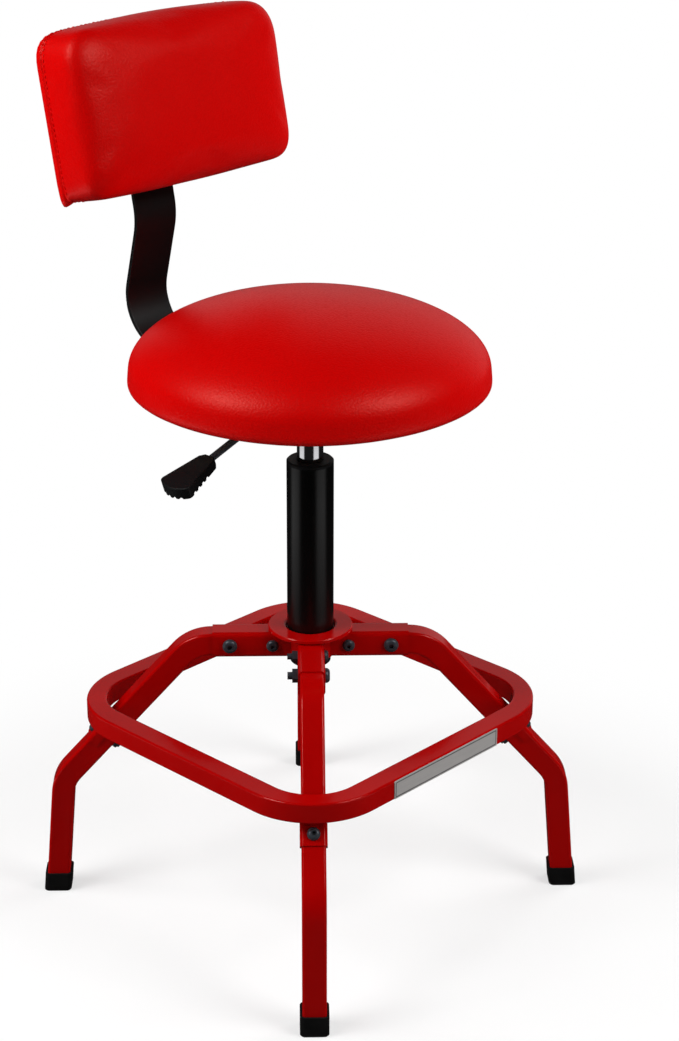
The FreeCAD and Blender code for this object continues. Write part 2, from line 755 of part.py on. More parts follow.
def make_bumper():
    return pipe(BUMPER_DIAMETER / 2, rod_radius + WELD_GAP, collar_top, collar_top + BUMPER_LENGTH)


# Gas spring
def cone_radius(height):
    """Outside radius of the cone at the top of the gas spring."""
    return gas_radius - (height - socket_bottom) * math.tan(math.radians(GAS_TAPER))


def make_pressure_tube():
    return turned_solid([
        (gas_bore, gas_bottom),
        (gas_radius, gas_bottom),
        (gas_radius, socket_bottom),
        (cone_radius(gas_top), gas_top),
        (pin_radius + RUNNING_FIT, gas_top),
        (pin_radius + RUNNING_FIT, gas_top - GAS_WALL),
        (cone_radius(gas_top) - GAS_WALL, gas_top - GAS_WALL),
        (cone_radius(gas_top) - GAS_WALL, gas_top - GAS_WALL - VALVE_LENGTH),
        (gas_bore, gas_top - 2 * GAS_WALL - VALVE_LENGTH),
    ])


def make_valve_block():
    """The plug under the tube's top, with the pin's bore and room for its stroke."""
    outside = cone_radius(gas_top) - GAS_WALL - WELD_GAP
    top = gas_top - GAS_WALL - WELD_GAP
    bore = pin_radius + RUNNING_FIT
    return turned_solid([
        (bore, top - VALVE_LENGTH),
        (outside, top - VALVE_LENGTH),
        (outside, top),
        (bore, top),
    ])


def make_end_seal():
    outside = gas_bore - WELD_GAP
    return pipe(outside, rod_radius + RUNNING_FIT, gas_bottom, gas_bottom + SEAL_LENGTH)


def make_release_pin():
    return turned_solid([
        (0, pin_top - PIN_LENGTH),
        (pin_radius, pin_top - PIN_LENGTH),
        (pin_radius, pin_top - PIN_EDGE),
        (pin_radius - PIN_EDGE, pin_top),
        (0, pin_top),
    ])


# Seat plate, housing and taper socket
def seat_bolt_places():
    x = SEAT_PLATE_LENGTH / 2 - SEAT_BOLT_INSET
    y = SEAT_PLATE_WIDTH / 2 - SEAT_BOLT_INSET
    return [(x, y), (-x, y), (-x, -y), (x, -y)]


def bracket_bolt_places():
    first = bracket_toe + BRACKET_BOLT_FIRST
    half = BRACKET_BOLT_SPREAD / 2
    return [(x, y) for y in (first, first + BRACKET_BOLT_PITCH) for x in (half, -half)]


def upright_holes(kind, places):
    top = seat_underside + BOARD_BITE
    bottom = seat_underside - 2 * max(SEAT_PLATE_SHEET, BRACKET_SHEET)
    hole = cylinder(kind[0] + BOLT_FIT, bottom, top)
    return [hole.translated(vec(x, y, 0)) for x, y in places]


def make_seat_plate():
    middle = vec(0, 0, seat_plate_bottom)
    wire = rounded_rectangle(
        middle, SIDEWAYS, ACROSS, SEAT_PLATE_LENGTH, SEAT_PLATE_WIDTH, SEAT_PLATE_CORNER
    )
    plate = Part.Face(wire).extrude(vec(0, 0, SEAT_PLATE_SHEET))
    return plate.cut(upright_holes(SEAT_BOLT, seat_bolt_places()))


def housing_block(inset, z0, z1):
    wire = rounded_rectangle(
        vec(0, 0, z0),
        SIDEWAYS,
        ACROSS,
        HOUSING_LENGTH - 2 * inset,
        HOUSING_WIDTH - 2 * inset,
        HOUSING_CORNER - inset,
    )
    return Part.Face(wire).extrude(vec(0, 0, z1 - z0))


def make_seat_housing():
    outer = housing_block(0, housing_bottom, seat_plate_bottom)
    inner = housing_block(HOUSING_SHEET, housing_bottom + HOUSING_SHEET, seat_plate_bottom)
    socket = cylinder(SOCKET_DIAMETER / 2 + WELD_GAP, housing_bottom, seat_plate_bottom)
    wall = -HOUSING_LENGTH / 2
    half = lever_radius + LEVER_SLOT
    slot = box(wall, wall + HOUSING_SHEET, -half, half, lever_height - half, lever_height + half)
    pivot = rod_between(
        PIVOT_DIAMETER / 2 + WELD_GAP,
        vec(-LEVER_PIVOT, -HOUSING_WIDTH, lever_height),
        vec(-LEVER_PIVOT, HOUSING_WIDTH, lever_height),
    )
    return outer.cut([inner, socket, slot, pivot])


def make_taper_socket():
    outside = SOCKET_DIAMETER / 2
    return turned_solid([
        (cone_radius(socket_bottom) + WELD_GAP, socket_bottom),
        (outside, socket_bottom),
        (outside, socket_top),
        (cone_radius(socket_top) + WELD_GAP, socket_top),
    ])


def make_pivot_pin():
    half = HOUSING_WIDTH / 2 + PIVOT_HEAD / 2
    middle = vec(-LEVER_PIVOT, 0, lever_height)
    shaft = rod_between(PIVOT_DIAMETER / 2, middle - ACROSS * half, middle + ACROSS * half)
    heads = []
    for side in (1, -1):
        face = middle + ACROSS * (side * HOUSING_WIDTH / 2)
        heads.append(rod_between(PIVOT_DIAMETER, face, face + ACROSS * (side * PIVOT_HEAD)))
    return joined([shaft] + heads)


# Release lever: a level run over the pin, a bend, and an outer run that droops to the paddle
def lever_bend_corner():
    return vec(-LEVER_BEND, 0, lever_height)


def make_lever_rod():
    def section(middle, right, up):
        return Part.Face(Part.Wire(Part.makeCircle(lever_radius, middle, right.cross(up))))

    outward = vec(-math.cos(droop), 0, -math.sin(droop))
    corners = [
        vec(LEVER_NOSE - LEVER_PIVOT, 0, lever_height),
        lever_bend_corner(),
        lever_bend_corner() + outward * (PADDLE_START + PADDLE_SOCKET),
    ]
    rod = bent_bar(corners, ACROSS, [0, LEVER_BEND_RADIUS, 0], section)
    middle = vec(-LEVER_PIVOT, 0, lever_height)
    reach = ACROSS * LEVER_ROD
    return rod.cut(rod_between(PIVOT_DIAMETER / 2 + RUNNING_FIT, middle - reach, middle + reach))


def paddle_outline(height):
    inner_x = -PADDLE_START
    outer_x = inner_x - PADDLE_LENGTH
    inner_y = PADDLE_INNER_WIDTH / 2
    outer_y = PADDLE_OUTER_WIDTH / 2
    corners = [
        vec(outer_x + PADDLE_BOW, outer_y, height),
        vec(inner_x - PADDLE_CUT, inner_y, height),
        vec(inner_x, inner_y - PADDLE_CUT, height),
        vec(inner_x, PADDLE_CUT - inner_y, height),
        vec(inner_x - PADDLE_CUT, -inner_y, height),
        vec(outer_x + PADDLE_BOW, -outer_y, height),
    ]
    edges = list(Part.makePolygon(corners).Edges)
    edges.append(Part.Arc(corners[-1], vec(outer_x, 0, height), corners[0]).toShape())
    return Part.Wire(edges)


def paddle_underside(x):
    """Height of the paddle's lower face under the middle of the rod."""
    share = (-PADDLE_START - x) / PADDLE_LENGTH
    return PADDLE_TOP - PADDLE_INNER_DEPTH - share * (PADDLE_OUTER_DEPTH - PADDLE_INNER_DEPTH)


def paddle_body():
    bottom = PADDLE_TOP - PADDLE_OUTER_DEPTH
    body = Part.Face(paddle_outline(bottom)).extrude(vec(0, 0, PADDLE_OUTER_DEPTH))
    ends = -PADDLE_START - PADDLE_LENGTH + 2 * PADDLE_BOW
    upright = [edge for edge in body.Edges if edge.BoundBox.ZLength > PADDLE_OUTER_DEPTH / 2]
    body = body.makeFillet(PADDLE_CORNER, [edge for edge in upright if edge.BoundBox.XMax < ends])
    rim = [edge for edge in body.Edges if edge.BoundBox.ZMin > PADDLE_TOP - PADDLE_EDGE / 2]
    body = body.makeFillet(PADDLE_EDGE, rim)
    inner_x = -PADDLE_START
    outer_x = inner_x - PADDLE_LENGTH
    side = PADDLE_OUTER_WIDTH
    wedge = Part.makePolygon([
        vec(inner_x, -side, paddle_underside(inner_x)),
        vec(outer_x, -side, bottom),
        vec(inner_x, -side, bottom),
        vec(inner_x, -side, paddle_underside(inner_x)),
    ])
    return body.cut(Part.Face(wedge).extrude(vec(0, 2 * side, 0)))


def paddle_grips():
    """Grooves across the underside, and shorter ones into its outer end."""
    outer_x = -PADDLE_START - PADDLE_LENGTH
    cuts = []
    for step in range(1, GRIP_COUNT + 1):
        x = outer_x + PADDLE_BOW + GRIP_PITCH * step
        low = vec(x, -PADDLE_OUTER_WIDTH, paddle_underside(x))
        cuts.append(rod_between(GRIP_RADIUS, low, low + ACROSS * (2 * PADDLE_OUTER_WIDTH)))
    for step in range(GRIP_COUNT):
        y = GRIP_PITCH * (step - (GRIP_COUNT - 1) / 2)
        start = vec(outer_x - PADDLE_BOW, y, paddle_underside(outer_x))
        cuts.append(rod_between(GRIP_RADIUS, start, start + vec(2 * PADDLE_BOW, 0, 0)))
    return cuts


def make_lever_paddle():
    socket = rod_between(lever_radius + WELD_GAP, ORIGIN, vec(-PADDLE_START - PADDLE_SOCKET, 0, 0))
    paddle = paddle_body().cut([socket] + paddle_grips())
    paddle.rotate(ORIGIN, ACROSS, -LEVER_DROOP)
    paddle.translate(lever_bend_corner())
    return paddle


# Seat board and cushion
def board_radius():
    return SEAT_DIAMETER / 2 - SEAT_DRAW - SEAT_ROLL - SEAT_BOARD_WRAP


def make_seat_board():
    board = cylinder(board_radius(), seat_underside, seat_underside + SEAT_BOARD_SHEET)
    holes = upright_holes(SEAT_BOLT, seat_bolt_places())
    holes += upright_holes(BACK_BOLT, bracket_bolt_places())
    return board.cut(holes)


def ellipse_arc(middle, across, rise, start, end):
    """Part of an upright ellipse about middle, from one angle to another, anticlockwise."""
    points = []
    for angle in (start, (start + end) / 2, end):
        turn = math.radians(angle)
        points.append(middle + vec(across * math.cos(turn), 0, rise * math.sin(turn)))
    return Part.Arc(*points).toShape()


def dome_edges(widest):
    """The dome from the widest line to the crown: two arcs on an ellipse and a round cap."""
    middle = vec(0, 0, widest)
    radius = SEAT_DIAMETER / 2
    edges = [
        ellipse_arc(middle, radius, SEAT_CROWN, first, last)
        for first, last in zip(DOME_TURNS, DOME_TURNS[1:])
    ]
    turn = math.radians(DOME_TURNS[-1])
    rim = middle + vec(radius * math.cos(turn), 0, SEAT_CROWN * math.sin(turn))
    crown = middle + vec(0, 0, SEAT_CROWN)
    cap = crown.z - rim.z
    sphere = (rim.x ** 2 + cap ** 2) / (2 * cap)
    half = math.asin(rim.x / sphere) / 2
    through = crown + vec(sphere * math.sin(half), 0, sphere * (math.cos(half) - 1))
    edges.append(Part.Arc(rim, through, crown).toShape())
    return edges


def make_seat_cushion():
    radius = SEAT_DIAMETER / 2
    widest = seat_underside + SEAT_SIDE
    hollow = board_radius() + SOFT_GAP
    roof = seat_underside + SEAT_BOARD_SHEET + SOFT_GAP
    crown = widest + SEAT_CROWN
    side = radius - SEAT_DRAW
    turn_middle = vec(side - SEAT_ROLL, 0, seat_underside + SEAT_ROLL)
    edges = [ellipse_arc(turn_middle, SEAT_ROLL, SEAT_ROLL, -90, 0)]
    edges += Part.makePolygon(profile([(side, seat_underside + SEAT_ROLL), (radius, widest)])).Edges
    edges += dome_edges(widest)
    inside = profile([
        (0, crown),
        (0, roof),
        (hollow, roof),
        (hollow, seat_underside),
        (side - SEAT_ROLL, seat_underside),
    ])
    edges += Part.makePolygon(inside).Edges
    return revolved(edges)


def make_seat_bolts():
    screw = bolt(SEAT_BOLT, SEAT_PLATE_SHEET + BOARD_BITE)
    return Part.makeCompound([
        placed(screw, vec(x, y, seat_plate_bottom), UP * -1) for x, y in seat_bolt_places()
    ])


# Backrest
def back_up():
    return vec(0, math.sin(lean), math.cos(lean))


def back_forward():
    return vec(0, -math.cos(lean), math.sin(lean))


def knee_corner():
    return vec(0, knee_reach, knee_height)


def pad_middle():
    """The middle of the pad's back, on the front of its shell."""
    on_bar = knee_corner() + back_up() * PAD_RISE
    return on_bar + back_forward() * (BRACKET_SHEET / 2 + SHELL_DEPTH)


def back_bolt_places():
    """Places of the bolts that hold the shell, on the bar's back face."""
    face = knee_corner() + back_up() * PAD_RISE - back_forward() * (BRACKET_SHEET / 2)
    half = BRACKET_BOLT_SPREAD / 2
    top = (BRACKET_UPPER - PAD_RISE) / 2
    return [
        face + SIDEWAYS * x + back_up() * up
        for up in (top, top - BACK_BOLT_PITCH)
        for x in (half, -half)
    ]


def back_bolt_holes():
    return [
        rod_between(
            BACK_BOLT[0] + BOLT_FIT,
            place - back_forward() * BRACKET_SHEET,
            place + back_forward() * (BRACKET_SHEET + BOARD_BITE),
        )
        for place in back_bolt_places()
    ]


def make_backrest_bracket():
    def section(middle, right, up):
        wire = rounded_rectangle(middle, right, up, BRACKET_SHEET, BRACKET_WIDTH, BRACKET_EDGE)
        return Part.Face(wire)

    corners = [
        vec(0, bracket_toe, bracket_middle),
        vec(0, bracket_heel, bracket_middle),
        knee_corner(),
        knee_corner() + back_up() * BRACKET_UPPER,
    ]
    radii = [0, BRACKET_BEND, BRACKET_KNEE_BEND, 0]
    bar = bent_bar(corners, SIDEWAYS, radii, section)
    return bar.cut(upright_holes(BACK_BOLT, bracket_bolt_places()) + back_bolt_holes())


def make_bracket_bolts():
    screw = bolt(BACK_BOLT, BRACKET_SHEET + BOARD_BITE)
    bottom = seat_underside - BRACKET_SHEET
    return Part.makeCompound([
        placed(screw, vec(x, y, bottom), UP * -1) for x, y in bracket_bolt_places()
    ])


def make_back_bolts():
    screw = bolt(BACK_BOLT, BRACKET_SHEET + BOARD_BITE)
    return Part.makeCompound([
        placed(screw, place, back_forward() * -1) for place in back_bolt_places()
    ])


def make_back_shell():
    """The moulded block between the bar and the pad, rounded round its back."""
    middle = pad_middle() - back_forward() * SHELL_DEPTH
    width = PAD_WIDTH - 2 * SHELL_INSET
    height = PAD_HEIGHT - 2 * SHELL_INSET
    wire = rounded_rectangle(middle, SIDEWAYS, back_up(), width, height, SHELL_CORNER)
    shell = Part.Face(wire).extrude(back_forward() * SHELL_DEPTH)
    rim = []
    for edge in shell.Edges:
        depth = (edge.CenterOfMass - middle).dot(back_forward())
        if depth < SHELL_EDGE / 2:
            rim.append(edge)
    return shell.makeFillet(SHELL_EDGE, rim).cut(back_bolt_holes())


def pad_wire(depth, inset):
    """The pad's outline, drawn in by inset, at that depth in front of its back.

    The corners shrink with the outline.
    """
    middle = pad_middle() + back_forward() * depth
    half_w = PAD_WIDTH / 2 - inset
    half_h = PAD_HEIGHT / 2 - inset

    def at(x, up):
        return middle + SIDEWAYS * x + back_up() * up

    def corner_arc(x_side, up_side, radius, first_along_x):
        x = half_w - radius
        up = half_h - radius
        mid = radius * math.sqrt(0.5)
        flat = at(x_side * x, up_side * half_h)
        upright = at(x_side * half_w, up_side * up)
        through = at(x_side * (x + mid), up_side * (up + mid))
        ends = (flat, upright) if first_along_x else (upright, flat)
        return Part.Arc(ends[0], through, ends[1]).toShape()

    share = depth / PAD_THICKNESS
    fill = half_h / (PAD_HEIGHT / 2)
    top = PAD_BACK_TOP_CORNER + share * (PAD_TOP_CORNER - PAD_BACK_TOP_CORNER)
    top *= fill
    bottom = PAD_BACK_BOTTOM_CORNER + share * (PAD_BOTTOM_CORNER - PAD_BACK_BOTTOM_CORNER)
    bottom *= fill
    top_left = at(-half_w + top, half_h)
    top_right = at(half_w - top, half_h)
    edges = [
        Part.Arc(top_left, at(0, half_h + PAD_BOW), top_right).toShape(),
        corner_arc(1, 1, top, True),
        Part.LineSegment(at(half_w, half_h - top), at(half_w, bottom - half_h)).toShape(),
        corner_arc(1, -1, bottom, False),
        Part.LineSegment(at(half_w - bottom, -half_h), at(bottom - half_w, -half_h)).toShape(),
        corner_arc(-1, -1, bottom, True),
        Part.LineSegment(at(-half_w, bottom - half_h), at(-half_w, half_h - top)).toShape(),
        corner_arc(-1, 1, top, False),
    ]
    return Part.Wire(edges)


def make_back_pad():
    """A cushion with a seam near its back, drawn-in sides and a crowned front."""
    edge_start = PAD_THICKNESS - PAD_EDGE
    stations = [
        (SOFT_GAP, PAD_ROLL),
        (PAD_SEAM / 2, PAD_ROLL / 4),
        (PAD_SEAM, 0),
        ((PAD_SEAM + edge_start) / 2, PAD_DRAW / 3),
        (edge_start, PAD_DRAW),
    ]
    for angle in PAD_EDGE_TURNS:
        turn = math.radians(angle)
        depth = edge_start + PAD_EDGE * math.sin(turn)
        stations.append((depth, PAD_DRAW + PAD_CROWN * (1 - math.cos(turn))))
    return Part.makeLoft([pad_wire(depth, inset) for depth, inset in stations], True, False)


# Every node of the stool, by name
def all_nodes():
    nodes = {
        "hub_tube": make_hub_tube(),
        "hub_flange": make_hub_flange(),
        "footrest_ring": make_footrest_ring(),
        "name_plate": make_name_plate(),
        "column_tube": make_column_tube(),
        "guide_bush": make_guide_bush(),
        "lower_race": race(race_bottom, rod_radius + RACE_SHEET),
        "roller_ring": make_roller_ring(),
        "upper_race": race(upper_race_bottom, rod_radius + WELD_GAP),
        "piston_rod": make_piston_rod(),
        "piston": make_piston(),
        "rod_clip": make_rod_clip(),
        "bumper": make_bumper(),
        "pressure_tube": make_pressure_tube(),
        "valve_block": make_valve_block(),
        "end_seal": make_end_seal(),
        "release_pin": make_release_pin(),
        "seat_plate": make_seat_plate(),
        "seat_housing": make_seat_housing(),
        "taper_socket": make_taper_socket(),
        "pivot_pin": make_pivot_pin(),
        "lever_rod": make_lever_rod(),
        "lever_paddle": make_lever_paddle(),
        "seat_board": make_seat_board(),
        "seat_cushion": make_seat_cushion(),
        "seat_bolts": make_seat_bolts(),
        "backrest_bracket": make_backrest_bracket(),
        "bracket_bolts": make_bracket_bolts(),
        "back_shell": make_back_shell(),
        "back_bolts": make_back_bolts(),
        "back_pad": make_back_pad(),
    }
    for name, (angle, _side) in LEGS.items():
        nodes["leg_" + name] = turned(make_leg(), angle)
        nodes["sleeve_" + name] = turned(make_sleeve(), angle)
        nodes["foot_cap_" + name] = turned(make_foot_cap(), angle)
        nodes["ring_tab_" + name] = turned(make_ring_tab(), angle)
    sockets = {"outer": (OUTER_BOLT, OUTER_BOLT_RADIUS), "inner": (INNER_BOLT, INNER_BOLT_RADIUS)}
    for name, (kind, radius) in sockets.items():
        nodes[name + "_socket_bolts"] = at_each_leg(lambda side: socket_bolt(kind, radius, side))
        nodes[name + "_socket_nuts"] = at_each_leg(lambda side: socket_nut(kind, radius, side))
    nodes["ring_bolts"] = at_each_leg(ring_bolt)
    nodes["ring_nuts"] = at_each_leg(ring_nut)
    return nodes


def main():
    os.makedirs("parts", exist_ok=True)
    for name, shape in all_nodes().items():
        shape.exportStep("parts/" + name + ".step")
        print(name, len(shape.Solids), shape.isValid(), round(shape.Volume / 1000, 2))


main()
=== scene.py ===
# %% [markdown]
# # A red shop stool, dressed in Blender
# The stool's rigid pieces come from its CAD model, which this script loads as a fixed frame and never
# moves. What CAD leaves plain is made here: a finish for every surface, the two cushions as simulated
# vinyl, and the small marks of making, such as weld beads, folded hems, staples and stitches.
# Lengths are in metres, and the frame has +Z up from the floor with the sitter facing -Y.

# %% Load the frame
import bisect
import json
import math

import bmesh
import bpy
from mathutils import Matrix, Quaternion, Vector
from mathutils.bvhtree import BVHTree


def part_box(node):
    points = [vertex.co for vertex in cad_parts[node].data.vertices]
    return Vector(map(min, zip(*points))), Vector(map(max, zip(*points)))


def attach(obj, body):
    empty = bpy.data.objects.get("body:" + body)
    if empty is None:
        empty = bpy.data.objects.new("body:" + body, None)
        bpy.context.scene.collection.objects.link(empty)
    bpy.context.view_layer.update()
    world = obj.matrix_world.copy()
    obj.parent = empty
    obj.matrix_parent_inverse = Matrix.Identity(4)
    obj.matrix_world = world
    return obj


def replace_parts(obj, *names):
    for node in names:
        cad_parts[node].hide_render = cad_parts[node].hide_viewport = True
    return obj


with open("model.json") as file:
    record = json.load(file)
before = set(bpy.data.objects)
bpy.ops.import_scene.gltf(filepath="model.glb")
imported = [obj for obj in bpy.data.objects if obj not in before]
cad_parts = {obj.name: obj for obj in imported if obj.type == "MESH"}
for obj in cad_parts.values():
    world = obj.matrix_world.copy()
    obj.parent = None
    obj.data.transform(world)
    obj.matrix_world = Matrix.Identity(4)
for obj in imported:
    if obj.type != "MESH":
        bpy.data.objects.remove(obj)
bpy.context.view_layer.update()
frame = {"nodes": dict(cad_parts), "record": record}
scene = bpy.context.scene
scene.view_settings.view_transform = "Standard"

# %% [markdown]
# ## Camera
# The photograph was taken from the stool's front right-hand corner, looking down a little, with a lens
# of about twice the normal length. A camera in Blender is placed by where it stands and where it looks.
# The slight roll and shift are the photograph's own, found by matching the feet, the ring and the column.

# %% Camera
PHOTO_WIDTH = 679
PHOTO_HEIGHT = 1041
CAMERA_PLACE = Vector((-1.6081, -1.5680, 1.3805))
CAMERA_AIM = Vector((0.6729, 0.6312, -0.3858))
CAMERA_ROLL = math.radians(0.336)
CAMERA_LENS = 79.29
CAMERA_SENSOR = 36.0
CAMERA_SHIFT = (-0.0112, 0.0024)


def make_camera():
    data = bpy.data.cameras.new("photo_camera")
    data.sensor_fit = "VERTICAL"
    data.sensor_height = CAMERA_SENSOR
    data.sensor_width = CAMERA_SENSOR * PHOTO_WIDTH / PHOTO_HEIGHT
    data.lens = CAMERA_LENS
    data.shift_x, data.shift_y = CAMERA_SHIFT
    camera = bpy.data.objects.new("photo_camera", data)
    level = CAMERA_AIM.to_track_quat("-Z", "Y")
    roll = Quaternion((0.0, 0.0, 1.0), CAMERA_ROLL)
    camera.matrix_world = Matrix.Translation(CAMERA_PLACE) @ (level @ roll).to_matrix().to_4x4()
    scene.collection.objects.link(camera)
    scene.camera = camera


make_camera()
print("camera stands", round(CAMERA_PLACE.length, 3), "m from the origin")

# %% [markdown]
# ## Shader sums in Python
# A Blender material is a graph of nodes joined by sockets. Drawing long sums as boxes and wires is slow
# to read, so one small class wraps a socket and lets Python's own signs add the Math nodes. A second
# class holds one material and has a single method that adds any other kind of node.


# %% Sockets as values
class Signal:
    """The output of a node, which can be added, taken away, multiplied and divided like a number."""

    def __init__(self, finish, socket):
        self.finish = finish
        self.socket = socket

    def maths(self, operation, first, second):
        return self.finish.node("ShaderNodeMath", {"operation": operation}, {0: first, 1: second})

    def __add__(self, other):
        return self.maths("ADD", self, other)

    def __radd__(self, other):
        return self.maths("ADD", other, self)

    def __sub__(self, other):
        return self.maths("SUBTRACT", self, other)

    def __rsub__(self, other):
        return self.maths("SUBTRACT", other, self)

    def __mul__(self, other):
        return self.maths("MULTIPLY", self, other)

    def __rmul__(self, other):
        return self.maths("MULTIPLY", other, self)

    def __truediv__(self, other):
        return self.maths("DIVIDE", self, other)


# %% One material and its nodes
class Finish:
    """A material being written, with its tree of nodes and its main shader."""

    def __init__(self, name):
        self.material = bpy.data.materials.new(name)
        self.material.use_nodes = True
        self.tree = self.material.node_tree
        self.shader = self.tree.nodes["Principled BSDF"]

    def node(self, kind, settings=None, inputs=None, output=0):
        """Adds a node, sets it up, feeds its sockets and gives back one of its outputs."""
        made = self.tree.nodes.new(kind)
        for key, value in (settings or {}).items():
            if key == "stops":
                self.set_stops(made.color_ramp.elements, value)
            else:
                setattr(made, key, value)
        for key, value in (inputs or {}).items():
            self.feed(made.inputs[key], value)
        return Signal(self, made.outputs[output])

    def set_stops(self, elements, stops):
        while len(elements) < len(stops):
            elements.new(1.0)
        for element, (place, level) in zip(elements, stops):
            element.position = place
            element.color = (level, level, level, 1.0)

    def feed(self, socket, value):
        if isinstance(value, Signal):
            self.tree.links.new(value.socket, socket)
        else:
            socket.default_value = value

    def surface(self, values):
        for key, value in values.items():
            self.feed(self.shader.inputs[key], value)
        return self.material

    def place(self):
        """The point being shaded, in metres, in the piece's own frame."""
        return self.node("ShaderNodeTexCoord", output=3)

    def stretched(self, scale):
        return self.node("ShaderNodeMapping", {}, {"Vector": self.place(), "Scale": scale})

    def clouds(self, scale, detail=2.0, vector=None):
        sockets = {"Vector": vector or self.place(), "Scale": scale, "Detail": detail}
        return self.node("ShaderNodeTexNoise", {}, sockets)

    def cells(self, scale, feature="F1"):
        sockets = {"Vector": self.place(), "Scale": scale}
        return self.node("ShaderNodeTexVoronoi", {"feature": feature}, sockets)

    def ramp(self, value, stops):
        return self.node("ShaderNodeValToRGB", {"stops": stops}, {"Fac": value})

    def mixed(self, factor, first, second):
        sockets = {0: factor, 6: first, 7: second}
        return self.node("ShaderNodeMix", {"data_type": "RGBA"}, sockets, output=2)

    def bump(self, height, depth, strength):
        sockets = {"Height": height, "Distance": depth, "Strength": strength}
        return self.node("ShaderNodeBump", {}, sockets)


def colour(red, green, blue):
    """A display colour of 0 to 255, turned by the sRGB curve into the linear values that a shader takes."""

    def linear(level):
        share = level / 255
        if share <= 0.04045:
            return share / 12.92
        return ((share + 0.055) / 1.055) ** 2.4

    return (linear(red), linear(green), linear(blue), 1.0)


print("shader helpers are ready")

# %% [markdown]
# ## Red powder coat
# The legs, ring, sleeves and hub are powder coated: a thick glossy paint that is melted on. Seen close
# it has a fine orange-peel ripple, and its colour is a shade deeper where it runs thin. A flat red with
# a low roughness would look like plastic, so noise drives the ripple, the colour and the gloss.

# %% Red powder coat
FINISHES = {}  # one for each material slot of the record, and the column's own black


def red_powder_coat():
    finish = Finish("red_powder_coat")
    peel = finish.clouds(420.0, 2.0)
    thickness = finish.clouds(24.0, 3.0)
    gloss = 0.16 + 0.1 * finish.clouds(90.0, 3.0)
    return finish.surface({
        "Base Color": finish.mixed(thickness, colour(164, 1, 1), colour(178, 2, 2)),
        "Roughness": gloss,
        "Specular IOR Level": 0.45,
        "Specular Tint": (1.0, 0.42, 0.38, 1.0),
        "Coat Weight": 0.15,
        "Coat Roughness": 0.06,
        "Normal": finish.bump(peel, 0.00006, 0.6),
    })


FINISHES["red_paint"] = red_powder_coat()
print("made", FINISHES["red_paint"].name)

# %% [markdown]
# ## Black finishes
# Five blacks lie close together here, and they differ mostly in gloss and grain. The column has smooth
# satin paint, the bar a duller powder with a finer grain, and the bolts a dark oxide that is half metal.
# The paddle and the back's shell are moulded plastic, and the feet are rubber with a little dust on it. One
# plain black for all would run the pieces together, so each has its own roughness and bump. The two paints
# share a function, because only three numbers part them.


# %% Black paint
def black_paint(name, roughness, grain, gloss):
    finish = Finish(name)
    speckle = finish.clouds(grain, 2.0)
    patches = finish.clouds(14.0, 3.0)
    return finish.surface({
        "Base Color": finish.mixed(patches, colour(4, 4, 4), colour(9, 8, 8)),
        "Roughness": roughness + 0.1 * patches,
        "Specular IOR Level": gloss,
        "Normal": finish.bump(speckle, 0.00005, 0.5),
    })


FINISHES["black_paint"] = black_paint("bar_black", roughness=0.4, grain=620.0, gloss=0.5)
FINISHES["column_black"] = black_paint("column_black", roughness=0.24, grain=300.0, gloss=0.4)
print("made", FINISHES["black_paint"].name, "and", FINISHES["column_black"].name)


# %% Black oxide, moulded plastic and rubber
def black_oxide():
    finish = Finish("black_oxide")
    patches = finish.clouds(160.0, 3.0)
    return finish.surface({
        "Base Color": finish.mixed(patches, colour(44, 48, 54), colour(84, 89, 96)),
        "Metallic": 0.45,
        "Roughness": 0.26 + 0.16 * patches,
        "Normal": finish.bump(finish.clouds(900.0), 0.00003, 0.5),
    })


def moulded_plastic():
    finish = Finish("moulded_plastic")
    grain = finish.cells(1400.0)
    return finish.surface({
        "Base Color": finish.mixed(finish.clouds(30.0), colour(11, 11, 12), colour(20, 20, 21)),
        "Roughness": 0.42 + 0.12 * finish.clouds(120.0),
        "Specular IOR Level": 0.2,
        "Normal": finish.bump(grain, 0.00006, 0.5),
    })


def foot_rubber():
    finish = Finish("foot_rubber")
    dust = finish.clouds(70.0, 4.0)
    return finish.surface({
        "Base Color": finish.mixed(dust, colour(10, 10, 10), colour(26, 25, 25)),
        "Roughness": 0.55 + 0.2 * dust,
        "Specular IOR Level": 0.15,
        "Normal": finish.bump(finish.clouds(1100.0), 0.00008, 0.6),
    })


FINISHES["black_steel"] = black_oxide()
FINISHES["black_plastic"] = moulded_plastic()
FINISHES["black_rubber"] = foot_rubber()
print("finishes so far:", len(FINISHES))

# %% [markdown]
# ## Bright metals
# The gas spring's tube is hard chrome, ground round and round, so its faint scratches run in rings.
# The hidden bearing parts and the screws are zinc plated, with the cloudy bloom of plating. The plate
# on the ring is brushed along its length: the grain is noise that is squeezed across and drawn out along X.
# A thin pressed line runs round it, at an even distance from its edge. A picture could be wrapped round each
# piece, but noise in the piece's own frame needs no unwrapping and stays sharp close up.

# %% Chrome, zinc and brushed plate
PLATE_LINE_INSET = 0.0021
PLATE_LINE_WIDTH = 0.0012
PLATE_LINE_DEPTH = 4.0  # in depths of a brush stroke


def hard_chrome():
    finish = Finish("hard_chrome")
    rings = finish.clouds(1.0, 2.0, finish.stretched((30.0, 30.0, 2600.0)))
    return finish.surface({
        "Base Color": colour(212, 213, 216),
        "Metallic": 1.0,
        "Roughness": 0.06 + 0.08 * rings,
        "Normal": finish.bump(rings, 0.000004, 0.4),
    })


def zinc_plate():
    finish = Finish("zinc_plate")
    bloom = finish.cells(240.0)
    return finish.surface({
        "Base Color": finish.mixed(bloom, colour(150, 152, 155), colour(190, 191, 192)),
        "Metallic": 1.0,
        "Roughness": 0.28 + 0.18 * finish.clouds(150.0, 3.0),
        "Normal": finish.bump(finish.clouds(1200.0), 0.00002, 0.5),
    })


